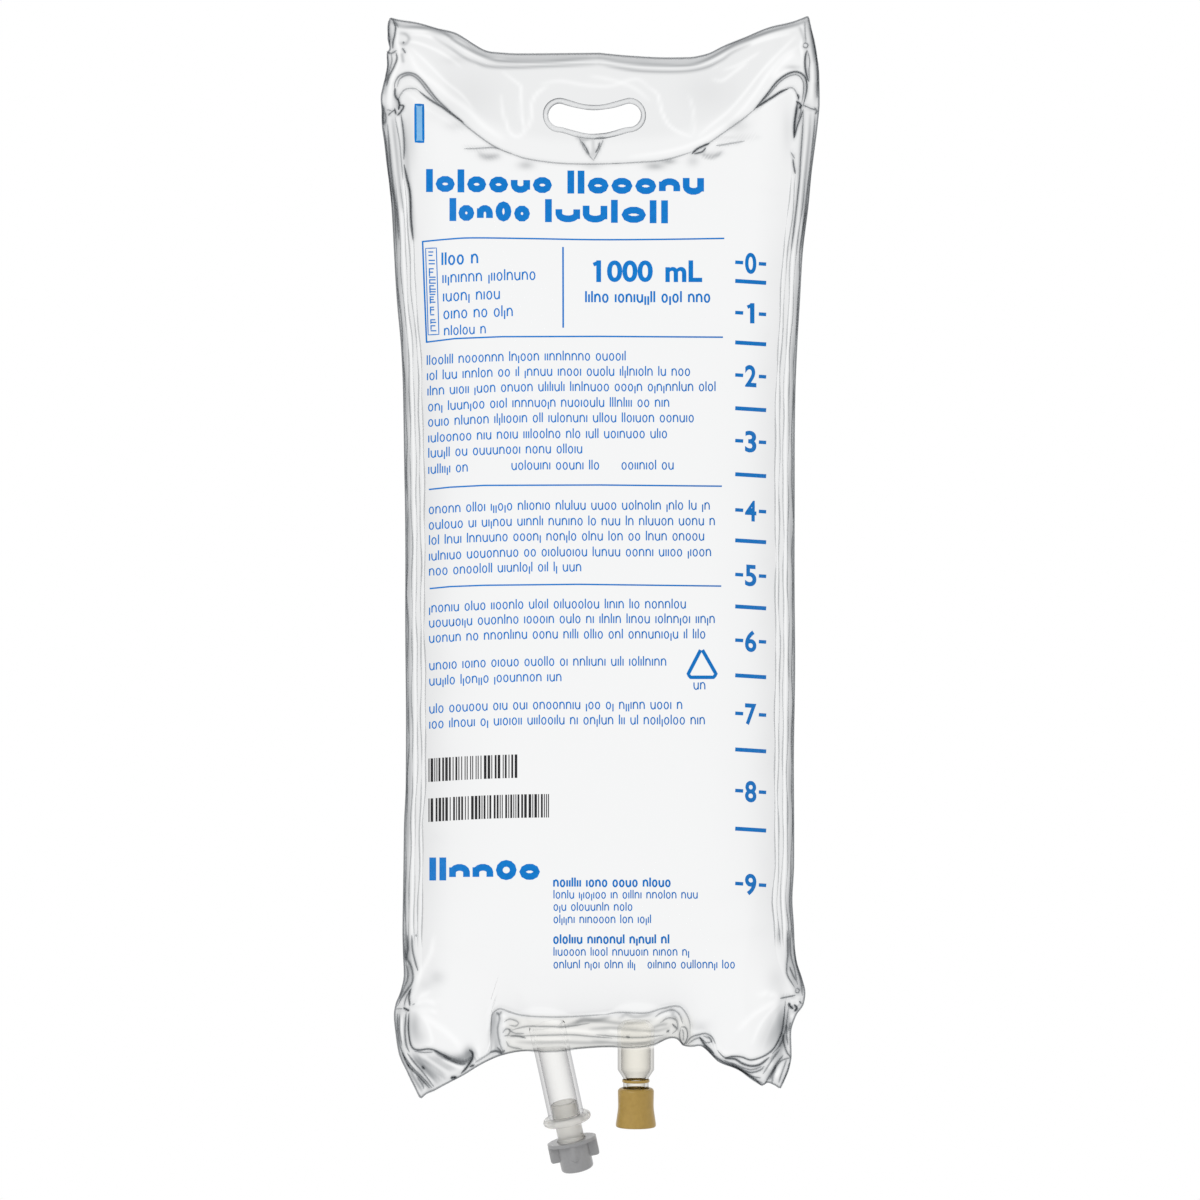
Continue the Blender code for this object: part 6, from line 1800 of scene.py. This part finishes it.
def add_print():
    dice = np.random.default_rng(7)
    blue = Ink()
    for path, width in RULES:
        blue.ribbon(smooth_path(path, 4) if len(path) == 7 else path, width)
    blue.ribbon(INDEX_BAR + INDEX_BAR[:1], INDEX_STROKE)
    pale = Ink()
    pale.ribbon(INDEX_FILL, INDEX_FILL_WIDTH)
    pale.piece("pale_print", solid_material("pale_ink", (0.18, 0.44, 0.74), (0.21, 0.48, 0.78), 0.5))
    small_rows(blue, dice)
    big_groups(blue, dice)
    scale_marks(blue)
    side_code(blue, dice)
    blue.one(VOLUME_ONE, VOLUME_TOP, VOLUME_FOOT, VOLUME_STROKE)
    for part, left, right in VOLUME_PARTS:
        blue.glyph(part, left, right, VOLUME_TOP, VOLUME_FOOT, VOLUME_WEIGHT)
    black = Ink()
    bar_rows(black, dice)
    blue.piece("blue_print", solid_material(
        "blue_ink", (0.0, 0.165, 0.54), (0.002, 0.20, 0.62), 0.5, Specular_IOR_Level=INK_SPECULAR))
    black.piece("black_bars", solid_material(
        "black_ink", (0.012, 0.012, 0.014), (0.02, 0.02, 0.022), 0.5, Specular_IOR_Level=INK_SPECULAR))


add_print()
add_creases()


# World, floor, lamp and camera

WORLD_LEVEL = 0.80
FLOOR_RADIUS = 0.60
FLOOR_HEIGHT = -0.45
LAMP_SIZE = 0.9
LAMP_POWER = 7.0
LAMP_PLACE = (-0.75, -1.05, 0.75)
LAMP_AIM = (0.0, 0.0, -0.2)


def add_holder(name, data):
    holder = bpy.data.objects.new(name, data)
    bpy.context.scene.collection.objects.link(holder)
    return holder


def either(world, first, second):
    """1 where one of two outputs is 1."""
    node = world.node_tree.nodes.new("ShaderNodeMath")
    node.operation = "MAXIMUM"
    for socket, value in zip(node.inputs, (first, second)):
        world.node_tree.links.new(value, socket)
    return node.outputs[0]


def build_world():
    """White for all that is seen directly or through clear plastic; a little less as a light."""
    world = bpy.data.worlds.new("studio")
    bpy.context.scene.world = world
    world.use_nodes = True
    nodes, links = world.node_tree.nodes, world.node_tree.links
    nodes.clear()
    rays = nodes.new("ShaderNodeLightPath")
    bent = either(world, rays.outputs["Is Glossy Ray"], rays.outputs["Is Transmission Ray"])
    seen = either(world, rays.outputs["Is Camera Ray"], bent)
    backdrop = nodes.new("ShaderNodeBackground")
    light = nodes.new("ShaderNodeBackground")
    light.inputs["Strength"].default_value = WORLD_LEVEL
    mix = nodes.new("ShaderNodeMixShader")
    links.new(seen, mix.inputs[0])
    links.new(light.outputs[0], mix.inputs[1])
    links.new(backdrop.outputs[0], mix.inputs[2])
    output = nodes.new("ShaderNodeOutputWorld")
    links.new(mix.outputs[0], output.inputs["Surface"])
    for node in (backdrop, light):
        node.inputs["Color"].default_value = (1.0, 1.0, 1.0, 1.0)


def build_floor():
    """A pale round floor under the hanging bag."""
    shape = bmesh.new()
    bmesh.ops.create_circle(shape, cap_ends=True, segments=96, radius=FLOOR_RADIUS)
    mesh = mesh_of(shape, "floor")
    floor = add_holder("floor", mesh)
    floor.location = (0.0, 0.0, FLOOR_HEIGHT)
    mesh.materials.append(new_material("pale_floor", Base_Color=(0.95, 0.95, 0.95, 1.0), Roughness=0.9))


def build_lamp():
    lamp = bpy.data.lights.new("soft_box", "AREA")
    lamp.shape = "RECTANGLE"
    lamp.size = LAMP_SIZE
    lamp.size_y = LAMP_SIZE
    lamp.energy = LAMP_POWER
    holder = add_holder("soft_box", lamp)
    holder.location = LAMP_PLACE
    aim = Vector(LAMP_AIM) - holder.location
    holder.rotation_euler = aim.to_track_quat("-Z", "Y").to_euler()


def build_camera():
    camera = bpy.data.cameras.new("camera")
    camera.sensor_width = SENSOR_WIDTH
    camera.lens = SENSOR_WIDTH * CAMERA_DISTANCE / (PHOTO_SIZE * PIXEL)
    holder = add_holder("camera", camera)
    holder.location = (CAMERA_X, -CAMERA_DISTANCE, CAMERA_Z)
    holder.rotation_euler = (math.radians(90.0), 0.0, 0.0)
    bpy.context.scene.camera = holder


build_world()
build_floor()
build_lamp()
build_camera()
bpy.context.scene.view_settings.view_transform = "Standard"
